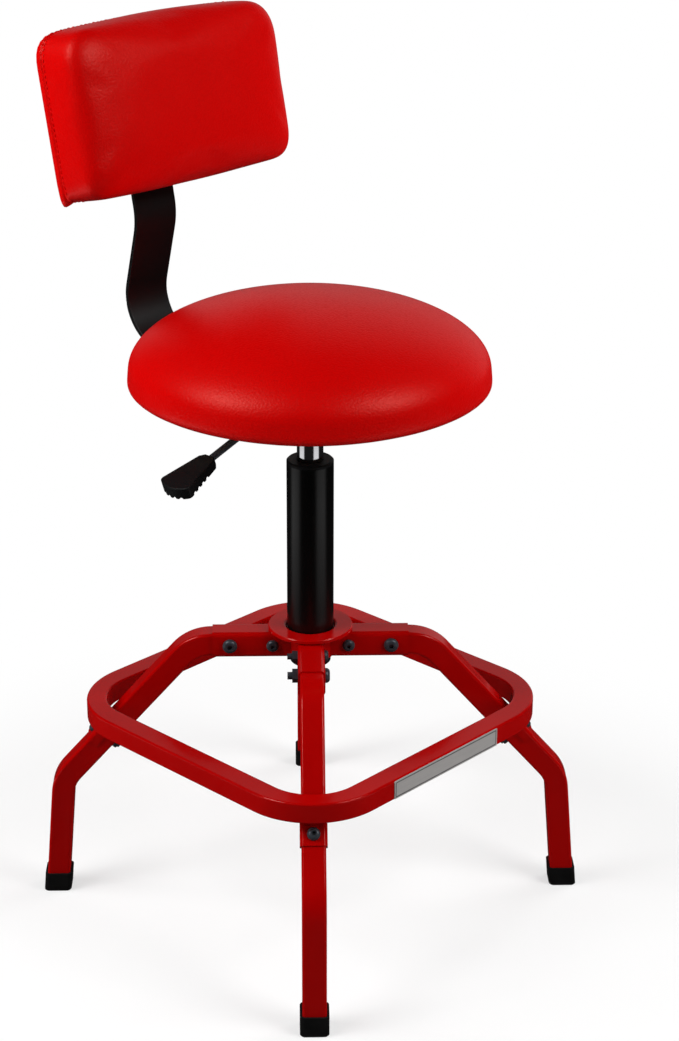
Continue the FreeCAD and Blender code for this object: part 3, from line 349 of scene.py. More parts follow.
def plate_edge(finish):
    """Distance from the nearest edge of the plate's face."""
    low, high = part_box("name_plate")
    x = finish.node("ShaderNodeSeparateXYZ", {}, {0: finish.place()}, output="X")
    z = finish.node("ShaderNodeSeparateXYZ", {}, {0: finish.place()}, output="Z")
    across = x.maths("MINIMUM", x - low.x, high.x - x)
    upright = z.maths("MINIMUM", z - low.z, high.z - z)
    return across.maths("MINIMUM", across, upright)


def brushed_plate():
    finish = Finish("brushed_plate")
    strokes = finish.clouds(1.0, 3.0, finish.stretched((40.0, 900.0, 2400.0)))
    steel = finish.mixed(strokes, colour(178, 175, 173), colour(216, 212, 210))
    off = plate_edge(finish) - PLATE_LINE_INSET
    line = finish.ramp(off.maths("ABSOLUTE", off, 0.0) / PLATE_LINE_WIDTH, [(0.4, 1.0), (0.6, 0.0)])
    return finish.surface({
        "Base Color": finish.mixed(0.8 * line, steel, colour(40, 40, 42)),
        "Metallic": 0.35,
        "Roughness": 0.32 + 0.16 * strokes,
        "Normal": finish.bump(strokes - PLATE_LINE_DEPTH * line, 0.00001, 0.5),
    })


FINISHES["chrome_plate"] = hard_chrome()
FINISHES["zinc_steel"] = zinc_plate()
FINISHES["silver_plate"] = brushed_plate()
print("finishes so far:", len(FINISHES))

# %% [markdown]
# ## Plywood
# The seat board is bare plywood underneath. Its face has long grain, which is noise drawn out along X, and
# short pores, which are a finer noise drawn out in the same way and pressed in as bump. Veneer is peeled off
# the log as a sheet, so it shows streaks and no rings, and stretched noise is enough.


# %% Plywood
def plywood():
    finish = Finish("plywood")
    grain = finish.clouds(1.0, 6.0, finish.stretched((14.0, 190.0, 60.0)))
    pores = finish.clouds(1.0, 2.0, finish.stretched((120.0, 1500.0, 900.0)))
    figure = finish.ramp(grain, [(0.3, 0.0), (0.7, 1.0)])
    return finish.surface({
        "Base Color": finish.mixed(figure, colour(168, 128, 84), colour(205, 170, 122)),
        "Roughness": 0.62 + 0.15 * pores,
        "Normal": finish.bump(pores, 0.00012, 0.6),
    })


FINISHES["plywood"] = plywood()
print("made", FINISHES["plywood"].name)

# %% [markdown]
# ## Red vinyl
# The cushions are covered in soft vinyl, pressed with a leather grain: rounded pebbles about two
# millimetres across with fine creases between them. Two sizes of cell texture give the pebbles, and broad
# noise shifts the colour and the gloss a little, as handling does. The creases are painted a little darker,
# as painted shade in the hollows of the grain. The grain is too fine to be modelled point by point, so it is
# bump.


# %% Red vinyl
def red_vinyl():
    finish = Finish("red_vinyl")
    pebbles = finish.cells(480.0, "SMOOTH_F1")
    fine = finish.cells(1300.0, "SMOOTH_F1")
    height = 1.0 - (0.7 * pebbles + 0.3 * fine)
    handling = finish.clouds(9.0, 3.0)
    # The creases darken the colour towards colour(120, 0, 0), as painted shade in the grain's hollows, and
    # make the gloss a little rougher.
    creases = finish.ramp(pebbles, [(0.25, 0.0), (0.75, 1.0)])
    tone = finish.mixed(handling, colour(202, 0, 0), colour(212, 1, 1))
    return finish.surface({
        "Base Color": finish.mixed(0.12 * creases, tone, colour(120, 0, 0)),
        "Roughness": 0.31 + 0.1 * handling + 0.06 * creases,
        "Specular IOR Level": 0.5,
        "Specular Tint": (1.0, 0.34, 0.28, 1.0),
        "Normal": finish.bump(height, 0.0005, 0.6),
    })


FINISHES["red_vinyl"] = red_vinyl()
print("finishes:", ", ".join(sorted(FINISHES)))

# %% [markdown]
# ## Painting the CAD nodes
# The record says which slot each node has, so a loop hands out the finishes. A node keeps its shape, and
# only its material changes. The column's paint is smoother than the bar's, so it has its own black.


# %% Paint the CAD nodes
def paint_nodes():
    for part in frame["record"]["subparts"]:
        node = frame["nodes"][part["node"]]
        slot = "column_black" if part["node"] == "column_tube" else part["material_slot"]
        node.data.materials.clear()
        node.data.materials.append(FINISHES[slot])


paint_nodes()

# %% [markdown]
# ## Pieces from points and faces
# Everything that is added to the frame is a mesh of our own. One helper turns points and faces into a
# smooth piece with its finish. Each piece then rides on a body, so that it moves with the CAD. Another
# helper lays a round strand along a path, for threads, staples and weld beads.

# %% Helpers for new pieces
WIRE_SIDES = 6  # round a staple or a thread


def new_piece(name, points, faces, slot):
    mesh = bpy.data.meshes.new(name)
    mesh.from_pydata(points, [], faces)
    mesh.validate()
    mesh.materials.append(FINISHES[slot])
    mesh.polygons.foreach_set("use_smooth", [True] * len(mesh.polygons))
    piece = bpy.data.objects.new(name, mesh)
    scene.collection.objects.link(piece)
    return piece


def add_strand(points, faces, path, radii, sides):
    """Adds a closed round strand along the path, with a radius at each of its points."""
    first = len(points)
    last = len(path) - 1
    across = None
    for index, centre in enumerate(path):
        ahead = path[min(index + 1, last)] - path[max(index - 1, 0)]
        ahead.normalize()
        across = ahead.orthogonal() if across is None else across - ahead * across.dot(ahead)
        across.normalize()
        over = ahead.cross(across)
        for step in range(sides):
            turn = 2 * math.pi * step / sides
            points.append(centre + (across * math.cos(turn) + over * math.sin(turn)) * radii[index])
    for index in range(last):
        low = first + index * sides
        for step in range(sides):
            after = (step + 1) % sides
            faces.append((low + step, low + after, low + sides + after, low + sides + step))
    faces.append([first + step for step in reversed(range(sides))])
    faces.append([first + last * sides + step for step in range(sides)])


# %% [markdown]
# ## Cushions as cloth
# A foam cushion under vinyl is tight: the cover is pulled over the foam and its skin is in tension. So
# each cover starts as an even mesh, a little inside its final form, and Blender's cloth solver blows it up
# with air pressure. The points that lie on the board or the shell are held. The result is copied into the
# mesh, with a limit on how far a point may go, and one subdivision makes it smooth.

# %% Blow up a cover
CLOTH_STEPS = 20
CLOTH_QUALITY = 3
EVENING_SHARE = 0.5
TINY = 1e-9  # keeps a division clear of zero


def run_cloth(piece, held, pressure):
    """Runs the solver and gives the points where the cover ends up."""
    group = piece.vertex_groups.new(name="held")
    group.add(held, 1.0, "REPLACE")
    cloth = piece.modifiers.new("pressure", "CLOTH")
    cloth.settings.use_pressure = True
    cloth.settings.uniform_pressure_force = pressure
    cloth.settings.quality = CLOTH_QUALITY
    cloth.settings.vertex_group_mass = "held"
    cloth.settings.effector_weights.gravity = 0.0
    cloth.point_cache.frame_start = 1
    cloth.point_cache.frame_end = CLOTH_STEPS
    for step in range(1, CLOTH_STEPS + 1):
        scene.frame_set(step)
    blown = piece.evaluated_get(bpy.context.evaluated_depsgraph_get()).data
    ends = [vertex.co.copy() for vertex in blown.vertices]
    piece.modifiers.remove(cloth)
    piece.vertex_groups.clear()
    scene.frame_set(1)
    return ends


def blow_up(piece, held, pressure, limit):
    """Moves the points to where the solver takes them, but no further than the limit."""
    furthest = 0.0
    for vertex, end in zip(piece.data.vertices, run_cloth(piece, held, pressure)):
        step = end - vertex.co
        furthest = max(furthest, step.length)
        vertex.co += step * min(1.0, limit / max(step.length, TINY))
    print(piece.name, "swelled by up to", round(furthest * 1000, 1), "mm, kept to", limit * 1000)


def even_out(piece, held, rounds):
    """Takes the solver's small creases out of a tight cover."""
    still = set(held)
    work = bmesh.new()
    work.from_mesh(piece.data)
    loose = [vertex for vertex in work.verts if vertex.index not in still]
    axes = {"use_axis_x": True, "use_axis_y": True, "use_axis_z": True}
    for _ in range(rounds):
        bmesh.ops.smooth_vert(work, verts=loose, factor=EVENING_SHARE, **axes)
    work.to_mesh(piece.data)
    work.free()


def close_hole(piece):
    """Closes the open loop under the foam with a fan of faces."""
    work = bmesh.new()
    work.from_mesh(piece.data)
    lid = bmesh.ops.holes_fill(work, edges=work.edges, sides=0)["faces"]
    bmesh.ops.poke(work, faces=lid)
    for face in work.faces:
        face.smooth = True
    work.to_mesh(piece.data)
    work.free()


def refine(piece):
    """One smooth subdivision, made part of the mesh."""
    piece.modifiers.new("smooth", "SUBSURF").levels = 1
    smooth = bpy.data.meshes.new_from_object(piece.evaluated_get(bpy.context.evaluated_depsgraph_get()))
    piece.modifiers.clear()
    piece.data = smooth


# %% [markdown]
# ## Seat cover
# The seat is a round dome. A mesh made of rings would pinch at the crown and make the vinyl crease there,
# so a square grid is bent into a disc instead. The disc's radius is the length along the dome's section:
# over the crown, down the side and round the turn to the board's rim. From there the vinyl is folded under
# the board as a hem with a wavy cut edge, which leaves room for the bar of the backrest.

# %% Seat cover, its section
SEAT_SIDE = 0.0193  # from the cushion's bottom up to its widest level
SEAT_TURN = 0.007  # height of the turn under the side
SEAT_BULGE = 0.0008  # how far the turn stands out past the dome
SEAT_START = 0.001  # how far inside the dome the cover starts
SEAT_RIM_SHARE = 0.12  # share of the section in which that fades out
DOME_STEPS = 120
TURN_STEPS = 30
HEM_DROP = 0.0014  # how far the hem reaches under the board
BOARD_ROOM = 0.0004
BOARD_LOW, BOARD_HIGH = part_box("seat_board")
BOARD_RIM = BOARD_HIGH.x + BOARD_ROOM


def seat_section():
    """Points and outward directions along the dome's section, from the crown to the board's rim."""
    low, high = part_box("seat_cushion")
    radius = (high.x - low.x) / 2
    widest = low.z + SEAT_SIDE
    crown = high.z - widest
    section = []
    for step in range(DOME_STEPS + 1):
        turn = math.radians(90.0 - 90.0 * step / DOME_STEPS)
        out = Vector((math.cos(turn) / radius, 0.0, math.sin(turn) / crown)).normalized()
        section.append((Vector((radius * math.cos(turn), 0.0, widest + crown * math.sin(turn))), out))
    turn_middle = Vector((BOARD_RIM, 0.0, BOARD_LOW.z - HEM_DROP + SEAT_TURN))
    reach = radius + SEAT_BULGE - BOARD_RIM
    for step in range(1, TURN_STEPS + 1):
        turn = math.radians(-90.0 * step / TURN_STEPS)
        out = Vector((math.cos(turn), 0.0, math.sin(turn)))
        section.append((turn_middle + Vector((out.x * reach, 0.0, out.z * SEAT_TURN)), out))
    return section


def seat_sampler():
    """A function from a share of the section's length to a point, moved in except at the rim."""
    section = seat_section()
    lengths = [0.0]
    for (before, _), (after, _) in zip(section, section[1:]):
        lengths.append(lengths[-1] + (after - before).length)

    def sample(share):
        goal = min(share, 1.0) * lengths[-1]
        index = max(1, bisect.bisect_left(lengths, goal))
        part = (goal - lengths[index - 1]) / (lengths[index] - lengths[index - 1])
        place = section[index - 1][0].lerp(section[index][0], part)
        out = section[index - 1][1].lerp(section[index][1], part).normalized()
        return place - out * SEAT_START * min(1.0, (1.0 - min(share, 1.0)) / SEAT_RIM_SHARE)

    return sample


print("the board's rim is", round(1000 * BOARD_RIM, 1), "mm from the middle")


# %% Grids and rings of faces
def grid_edge(columns, rows):
    """Places on the edge of a grid, once round."""
    edge = [(column, 0) for column in range(columns)]
    edge += [(columns, row) for row in range(rows)]
    edge += [(column, rows) for column in range(columns, 0, -1)]
    edge += [(0, row) for row in range(rows, 0, -1)]
    return edge


def grid_faces(columns, rows, first=0):
    faces = []
    for row in range(rows):
        for column in range(columns):
            low = first + row * (columns + 1) + column
            faces.append((low, low + 1, low + columns + 2, low + columns + 1))
    return faces


def ring_faces(loop, following):
    """Quads between two loops of the same length."""
    faces = []
    for step in range(len(loop)):
        after = (step + 1) % len(loop)
        faces.append((loop[after], loop[step], following[step], following[after]))
    return faces


# %% Seat cover, its hem
HEM_GAP = 0.0002  # between the hem and the board
HEM_WIDTH = 0.024
HEM_WAVE = 0.003
HEM_WAVES = 29
HEM_SWAY = 2.0  # shifts the waves, so that they look uneven
HEM_SWAYS = 5
BAR_ROOM = 0.0015
BAR_FADE = 0.006  # in which the hem comes back beside the bar
BAR_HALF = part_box("backrest_bracket")[1].x + BAR_ROOM


def bar_cut(place):
    """0 where the bar leaves the board, rising to 1 beside it."""
    if place.y < 0:
        return 1.0
    return min(1.0, max(0.0, (abs(place.x) - BAR_HALF) / BAR_FADE))


def clear_of_bar(place):
    """Lifts a point that would lie in the way of the bar."""
    lowest = BOARD_LOW.z + BOARD_ROOM - (HEM_DROP + BOARD_ROOM) * bar_cut(place)
    return Vector((place.x, place.y, max(place.z, lowest)))


def hem_place(rim_place, share, height):
    """A point under the board, at a share of the hem's width in from the rim."""
    turn = math.atan2(rim_place.y, rim_place.x)
    sway = HEM_SWAY * math.sin(HEM_SWAYS * turn)
    wave = HEM_WAVE * math.sin(HEM_WAVES * turn + sway)
    width = max(HEM_GAP, (HEM_WIDTH + wave) * bar_cut(rim_place))
    radius = BOARD_RIM - share * width
    return clear_of_bar(Vector((radius * math.cos(turn), radius * math.sin(turn), height)))


def hem_levels():
    """Share of the hem's width and height: in to the cut edge, back out, and up the board's rim."""
    levels = [(share, BOARD_LOW.z - HEM_DROP) for share in (0.25, 0.5, 0.75, 1.0)]
    levels += [(share, BOARD_LOW.z - HEM_GAP) for share in (1.0, 0.0)]
    return levels + [(0.0, BOARD_HIGH.z + BOARD_ROOM)]


print("the hem leaves", round(1000 * 2 * BAR_HALF, 1), "mm for the bar")

# %% Seat cover, its mesh
SEAT_CELLS = 72
SEAT_PRESSURE = 4.0
SEAT_LIMIT = 0.003
SEAT_EVENING = 2


def dome_points():
    sample = seat_sampler()
    points = []
    for row in range(SEAT_CELLS + 1):
        for column in range(SEAT_CELLS + 1):
            u = 2 * column / SEAT_CELLS - 1
            v = 2 * row / SEAT_CELLS - 1
            flat = Vector((u * math.sqrt(1 - v * v / 2), v * math.sqrt(1 - u * u / 2)))
            spot = sample(flat.length)
            around = flat.normalized() if flat.length > TINY else flat
            points.append(clear_of_bar(Vector((around.x * spot.x, around.y * spot.x, spot.z))))
    return points


def make_seat_cover():
    points = dome_points()
    faces = grid_faces(SEAT_CELLS, SEAT_CELLS)
    rim = [row * (SEAT_CELLS + 1) + column for column, row in grid_edge(SEAT_CELLS, SEAT_CELLS)]
    held = list(rim)
    loop = rim
    for share, height in hem_levels():
        first = len(points)
        points += [hem_place(points[index], share, height) for index in rim]
        following = list(range(first, len(points)))
        faces += ring_faces(loop, following)
        held += following
        loop = following
    cover = new_piece("seat_cover", points, faces, "red_vinyl")
    blow_up(cover, held, SEAT_PRESSURE, SEAT_LIMIT)
    even_out(cover, held, SEAT_EVENING)
    refine(cover)
    close_hole(cover)
    return cover


seat_cover = make_seat_cover()
print("seat cover:", len(seat_cover.data.vertices), "points")

# %% [markdown]
# ## Gathers and staples
# A flat sheet that is pulled round a circle has too much cloth at its edge, so the hem lies in small radial
# gathers. They are finer than the mesh that the solver used, so a wave moves the points of the smooth mesh.
# Wire staples hold the hem to the board. Each is a bent wire: a straight back and two legs that go into the
# wood, a little askew, as a hand tool leaves them.

# %% Gather the hem and staple it
GATHER_COUNT = 76
GATHER_FOLD = 0.0009
GATHER_SWAY = 1.7  # shifts the folds, so that they look uneven
GATHER_SWAYS = 11
STAPLE_COUNT = 46
STAPLE_INSET = 0.013
STAPLE_HALF = 0.0052
STAPLE_WIRE = 0.0006
STAPLE_LEG = 0.003
STAPLE_TILT = 0.3
STAPLE_TILT_STEP = 12.9  # makes the tilts follow no plain order
# Points of a staple: shares of its half length along the back, and of its legs upwards
STAPLE_BEND = ((-1.0, 1.0), (-1.0, 0.3), (-0.88, 0.0), (0.88, 0.0), (1.0, 0.3), (1.0, 1.0))


def gather_hem(cover):
    for vertex in cover.data.vertices:
        below = BOARD_LOW.z - (HEM_DROP + HEM_GAP) / 2 - vertex.co.z
        if below > 0 and vertex.co.xy.length < BOARD_RIM:
            turn = math.atan2(vertex.co.y, vertex.co.x)
            sway = GATHER_SWAY * math.sin(GATHER_SWAYS * turn)
            fold = 0.5 + 0.5 * math.sin(GATHER_COUNT * turn + sway)
            inwards = min(1.0, (BOARD_RIM - vertex.co.xy.length) / STAPLE_INSET)
            vertex.co.z -= GATHER_FOLD * fold * inwards
    cover.data.update()
    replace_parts(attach(cover, "seat"), "seat_cushion")


def add_staple(points, faces, turn, tilt):
    out = Vector((math.cos(turn), math.sin(turn), 0.0))
    back = Vector((-out.y, out.x, 0.0)) * math.cos(tilt) + out * math.sin(tilt)
    level = BOARD_LOW.z - HEM_DROP - GATHER_FOLD - STAPLE_WIRE / 2
    middle = out * (BOARD_RIM - STAPLE_INSET) + Vector((0.0, 0.0, level))
    up = Vector((0.0, 0.0, STAPLE_LEG))
    path = []
    for along, rise_share in STAPLE_BEND:
        path.append(middle + back * (STAPLE_HALF * along) + up * rise_share)
    add_strand(points, faces, path, [STAPLE_WIRE] * len(path), WIRE_SIDES)


def make_staples():
    points = []
    faces = []
    for step in range(STAPLE_COUNT):
        turn = 2 * math.pi * (step + 0.5) / STAPLE_COUNT
        place = Vector((math.cos(turn), math.sin(turn), 0.0)) * (BOARD_RIM - STAPLE_INSET)
        if bar_cut(place * (BOARD_RIM - BAR_FADE) / BOARD_RIM) == 1.0:
            add_staple(points, faces, turn, STAPLE_TILT * math.sin(STAPLE_TILT_STEP * step))
    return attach(new_piece("seat_staples", points, faces, "zinc_steel"), "seat")


gather_hem(seat_cover)
seat_staples = make_staples()
print("staples:", len(seat_staples.data.vertices), "points")

# %% [markdown]
# ## Back cover
# The back cushion is a rounded block. Its cover has a front panel that wraps round the foam, a seam near
# the back, and a flat back panel that lies on the shell. Rings of the same number of points run from the
# front face over the rounded edge to the seam and the back, and a grid closes each end. Pressure then takes
# the stiffness out of the form.

# %% Back cover, its section
PAD_LEAN = math.radians(11.3)
PAD_UP = Vector((0.0, math.sin(PAD_LEAN), math.cos(PAD_LEAN)))
PAD_FORWARD = Vector((0.0, -math.cos(PAD_LEAN), math.sin(PAD_LEAN)))
PAD_SEAM = 0.0145  # from the back to the seam
PAD_ROLL = 0.006  # inset of the back panel
PAD_DRAW = 0.0004  # how far the side draws in towards the front
PAD_EDGE = 0.021  # depth of the rounded front edge
PAD_EDGE_STEPS = 12
PAD_CROWN = 0.030  # inset of the front face
PAD_CAD_BOW = 0.004  # rise of the top side of the CAD pad
PAD_BOW = 0.0018  # rise of the top side of the cover
PAD_FACE_CROWN = 0.0015  # how far the middle of the face stands out
PAD_ROLL_TURNS = (4, 9, 16, 27, 42, 58, 74, 90)  # degrees, from the seam to the back panel
SEAM_RINGS = (0.004, 0.002, 0.0)  # in front of the seam
PAD_TOP_CORNERS = (0.024, 0.036)  # radius at the back and at the front
PAD_BOTTOM_CORNERS = (0.009, 0.027)
PAD_STEP = 0.005  # between the rings of the side
PAD_START = 0.0005  # how far inside its outline the cover starts


def pad_size():
    """Half width, half height, thickness and the middle of the back, measured on the CAD pad."""
    places = [vertex.co for vertex in frame["nodes"]["back_pad"].data.vertices]
    heights = [place.dot(PAD_UP) for place in places]
    depths = [place.dot(PAD_FORWARD) for place in places]
    half_width = max(place.x for place in places)
    half_height = (max(heights) - PAD_CAD_BOW - min(heights)) / 2
    middle = PAD_UP * (min(heights) + half_height) + PAD_FORWARD * min(depths)
    return half_width, half_height, max(depths) - min(depths), middle


PAD_HALF_WIDTH, PAD_HALF_HEIGHT, PAD_THICKNESS, PAD_MIDDLE = pad_size()


def pad_section():
    """Depth and inset of the rings, from the front face to the back panel's edge."""
    front = PAD_THICKNESS - PAD_FACE_CROWN
    edge_start = PAD_THICKNESS - PAD_EDGE
    rings = []
    for step in range(PAD_EDGE_STEPS + 1):
        turn = math.radians(90.0 - 90.0 * step / PAD_EDGE_STEPS)
        depth = edge_start + (front - edge_start) * math.sin(turn)
        rings.append((depth, PAD_DRAW + PAD_CROWN * (1 - math.cos(turn))))
    side_end = PAD_SEAM + SEAM_RINGS[0] + PAD_STEP / 2
    count = round((edge_start - side_end) / PAD_STEP)
    depths = [edge_start + (side_end - edge_start) * step / count for step in range(1, count + 1)]
    depths += [PAD_SEAM + off for off in SEAM_RINGS]
    for depth in depths:
        share = (depth - PAD_SEAM) / (edge_start - PAD_SEAM)
        rings.append((depth, PAD_DRAW * share ** 2))
    for degrees in PAD_ROLL_TURNS:
        turn = math.radians(degrees)
        rings.append((PAD_SEAM * (1 - math.sin(turn)), PAD_ROLL * (1 - math.cos(turn))))
    return rings


def pad_outline(u, v, depth, inset):
    """A point of the rounded outline, for a point of the square's edge."""
    half_w = PAD_HALF_WIDTH - inset - PAD_START
    half_h = PAD_HALF_HEIGHT - inset - PAD_START
    corners = PAD_TOP_CORNERS if v > 0 else PAD_BOTTOM_CORNERS
    share = depth / PAD_THICKNESS
    radius = (corners[0] + share * (corners[1] - corners[0])) * half_h / PAD_HALF_HEIGHT
    x = u * half_w
    y = v * half_h
    over_x = abs(x) - half_w + radius
    over_y = abs(y) - half_h + radius
    if over_x > 0 and over_y > 0:
        pull = radius / math.hypot(over_x, over_y)
        x = math.copysign(half_w - radius + over_x * pull, x)
        y = math.copysign(half_h - radius + over_y * pull, y)
    bow = PAD_BOW * max(0.0, v) * (1 - (x / half_w) ** 2)
    return Vector((x, y + bow, depth))


def pad_place(local):
    """From the pad's own directions (across, up and forward from its back) to the stool's frame."""
    return PAD_MIDDLE + Vector((local.x, 0.0, 0.0)) + PAD_UP * local.y + PAD_FORWARD * local.z


def pad_local(place):
    """From the stool's frame to the pad's own directions."""
    away = place - PAD_MIDDLE
    return Vector((away.x, away.dot(PAD_UP), away.dot(PAD_FORWARD)))


pad_lengths = (2 * PAD_HALF_WIDTH, 2 * PAD_HALF_HEIGHT, PAD_THICKNESS)
print("pad:", [round(1000 * length) for length in pad_lengths], "mm")

# %% Back cover, its mesh
PAD_COLUMNS = 46
PAD_ROWS = 28
PAD_PRESSURE = 1.0
PAD_LIMIT = 0.004
PAD_EVENING = 4


def pad_cap(depth, inset, crown):
    """A grid inside one ring, with a slight crown."""
    points = []
    for row in range(PAD_ROWS + 1):
        for column in range(PAD_COLUMNS + 1):
            u = 2 * column / PAD_COLUMNS - 1
            v = 2 * row / PAD_ROWS - 1
            share = max(abs(u), abs(v))
            rim = pad_outline(u / share, v / share, depth, inset) if share > 0 else Vector((0, 0, 0))
            points.append(Vector((rim.x * share, rim.y * share, depth + crown * (1 - share ** 2))))
    return points


def make_back_cover():
    edge = grid_edge(PAD_COLUMNS, PAD_ROWS)
    rings = pad_section()
    points = pad_cap(*rings[0], PAD_FACE_CROWN)
    faces = grid_faces(PAD_COLUMNS, PAD_ROWS)
    loop = [row * (PAD_COLUMNS + 1) + column for column, row in edge]
    for depth, inset in rings[1:-1]:
        first = len(points)
        for column, row in edge:
            points.append(pad_outline(2 * column / PAD_COLUMNS - 1, 2 * row / PAD_ROWS - 1, depth, inset))
        following = list(range(first, len(points)))
        faces += ring_faces(loop, following)
        loop = following
    first = len(points)
    points += pad_cap(*rings[-1], 0.0)
    faces += ring_faces(loop, [first + row * (PAD_COLUMNS + 1) + column for column, row in edge])
    faces += [tuple(reversed(face)) for face in grid_faces(PAD_COLUMNS, PAD_ROWS, first)]
    cover = new_piece("back_cover", [pad_place(point) for point in points], faces, "red_vinyl")
    held = list(range(first, len(points)))
    blow_up(cover, held, PAD_PRESSURE, PAD_LIMIT)
    even_out(cover, held, PAD_EVENING)
    refine(cover)
    return cover


back_cover = make_back_cover()
print("back cover:", len(back_cover.data.vertices), "points")

# %% [markdown]
# ## Seam, gathers and corner flaps
# The seam pulls the vinyl in, and the cloth puckers along it. At the lower corners the cut edges stand out
# as small pointed flaps, and at the upper corners the spare cloth is gathered. These are narrower than the
# mesh that the solver used, so they are pressed into the fine mesh afterwards, each by a law of distance.

# %% Work the seam
SEAM_DEPTH = 0.0018
SEAM_WIDTH = 0.0017
PUCKER_DEPTH = 0.00035
PUCKER_LENGTH = 0.009
PUCKER_REACH = 0.009
GATHER_DEPTH = 0.0009
GATHER_REACH = 0.022
FLAP_LENGTH = 0.0125
FLAP_REACH = 0.015
FLAP_ROOT = 0.0026  # how far in from the corner a flap starts
FLAP_POINT = 1.5  # over 1, so that the flap comes to a point
FLAP_DOWN = 0.98
FLAP_ASIDE = 0.2


def upper_corner_distance(local):
    """Distance in the pad's own plane to the nearer upper corner of the seam."""
    return math.hypot(abs(local.x) - PAD_HALF_WIDTH, local.y - PAD_HALF_HEIGHT)


def seam_press(local):
    """How far a point of the side is pressed in by the seam and its puckers."""
    off = local.z - PAD_SEAM
    groove = SEAM_DEPTH * math.exp(-(off / SEAM_WIDTH) ** 2)
    fade = math.exp(-(off / PUCKER_REACH) ** 2)
    wave = math.sin(2 * math.pi * (local.x + local.y) / PUCKER_LENGTH)
    gathers = math.exp(-(upper_corner_distance(local) / GATHER_REACH) ** 2)
    return groove + fade * wave * (PUCKER_DEPTH + GATHER_DEPTH * gathers)


def flap_pull(local):
    """How far a point near a lower corner of the back is drawn out into a pointed flap."""
    aside = abs(local.x) - PAD_HALF_WIDTH + FLAP_ROOT
    below = local.y + PAD_HALF_HEIGHT - FLAP_ROOT
    away = math.sqrt(aside ** 2 + below ** 2 + (local.z - PAD_SEAM / 2) ** 2)
    return FLAP_LENGTH * max(0.0, 1.0 - away / FLAP_REACH) ** FLAP_POINT


def work_the_seam(cover):
    mesh = cover.data
    normals = [vertex.normal.copy() for vertex in mesh.vertices]
    for vertex, normal in zip(mesh.vertices, normals):
        local = pad_local(vertex.co)
        sideways = 1.0 - abs(normal.dot(PAD_FORWARD)) ** 2
        vertex.co -= normal * (seam_press(local) * sideways)
        drawn = PAD_UP * -FLAP_DOWN + Vector((math.copysign(FLAP_ASIDE, local.x), 0.0, 0.0))
        vertex.co += drawn * flap_pull(local)
    mesh.update()
    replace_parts(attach(cover, "seat"), "back_pad")


work_the_seam(back_cover)
print("seam worked on", back_cover.name)

# %% [markdown]
# ## Stitches
# A row of thread runs beside the seam. The pad's outline is walked in equal steps, and each stitch is a
# short strand laid on the cover: a search tree of the cover's faces gives the nearest point and its normal,
# so that the ends can dip into the vinyl and the middle can stand out.

# %% Stitches along the seam
STITCH_LENGTH = 0.0038
STITCH_GAP = 0.0013
STITCH_RADIUS = 0.00042
STITCH_OFFSET = 0.0036
STITCH_FINENESS = 8  # steps of the walk in each cell of the pad
STITCH_RISE = (-0.0003, 0.0002, 0.0003, 0.0002, -0.0003)


def outline_walk(depth, pitch):
    """Points along the pad's outline at one depth, an equal pitch apart."""
    columns = STITCH_FINENESS * PAD_COLUMNS
    rows = STITCH_FINENESS * PAD_ROWS
    loop = []
    for column, row in grid_edge(columns, rows):
        loop.append(pad_outline(2 * column / columns - 1, 2 * row / rows - 1, depth, 0.0))
    walked = [loop[0]]
    for place in loop[1:]:
        if (place - walked[-1]).length >= pitch:
            walked.append(place)
    return walked


def make_stitches(cover):
    corners = [vertex.co.copy() for vertex in cover.data.vertices]
    tree = BVHTree.FromPolygons(corners, [face.vertices[:] for face in cover.data.polygons])
    walked = outline_walk(PAD_SEAM + STITCH_OFFSET, STITCH_LENGTH + STITCH_GAP)
    points = []
    faces = []
    for start, after in zip(walked, walked[1:]):
        end = start.lerp(after, STITCH_LENGTH / (STITCH_LENGTH + STITCH_GAP))
        path = []
        for step, lift in enumerate(STITCH_RISE):
            spot = start.lerp(end, step / (len(STITCH_RISE) - 1))
            place, normal, _, _ = tree.find_nearest(pad_place(spot))
            path.append(place + normal * lift)
        add_strand(points, faces, path, [STITCH_RADIUS] * len(path), WIRE_SIDES)
    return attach(new_piece("back_stitches", points, faces, "red_vinyl"), "seat")


back_stitches = make_stitches(back_cover)
print("stitches:", len(back_stitches.data.vertices), "points")

# %% [markdown]
# ## Weld beads
# Each corner tab is welded under the ring. A bead of weld is a row of small overlapping puddles, so the
# strand along the joint swells and shrinks in a steady rhythm, and tapers at both ends.

# %% Weld beads on the tabs
WELD_RADIUS = 0.0021
WELD_RIPPLE = 0.14
WELD_PITCH = 0.0027
WELD_STEPS = 60
WELD_IN = 0.0012  # how far in from the tab's sides the bead ends
WELD_BLUNT = 1.02  # over 1, so that the ends keep some thickness
WELD_SIDES = 10
TAB_TOP_ROOM = 0.0005


def tab_top(corner):
    """Outward and crossing directions, reach, half width and height of the top of one tab."""
    places = [vertex.co for vertex in frame["nodes"]["ring_tab_" + corner].data.vertices]
    low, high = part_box("ring_tab_" + corner)
    middle = (low + high) / 2
    out = Vector((math.copysign(1.0, middle.x), math.copysign(1.0, middle.y), 0.0)).normalized()
    across = Vector((-out.y, out.x, 0.0))
    top = max(place.z for place in places)
    rim = [place for place in places if top - place.z < TAB_TOP_ROOM]
    reach = max(place.dot(out) for place in rim)
    half = max(place.dot(across) for place in rim)
    return out, across, reach, half, top


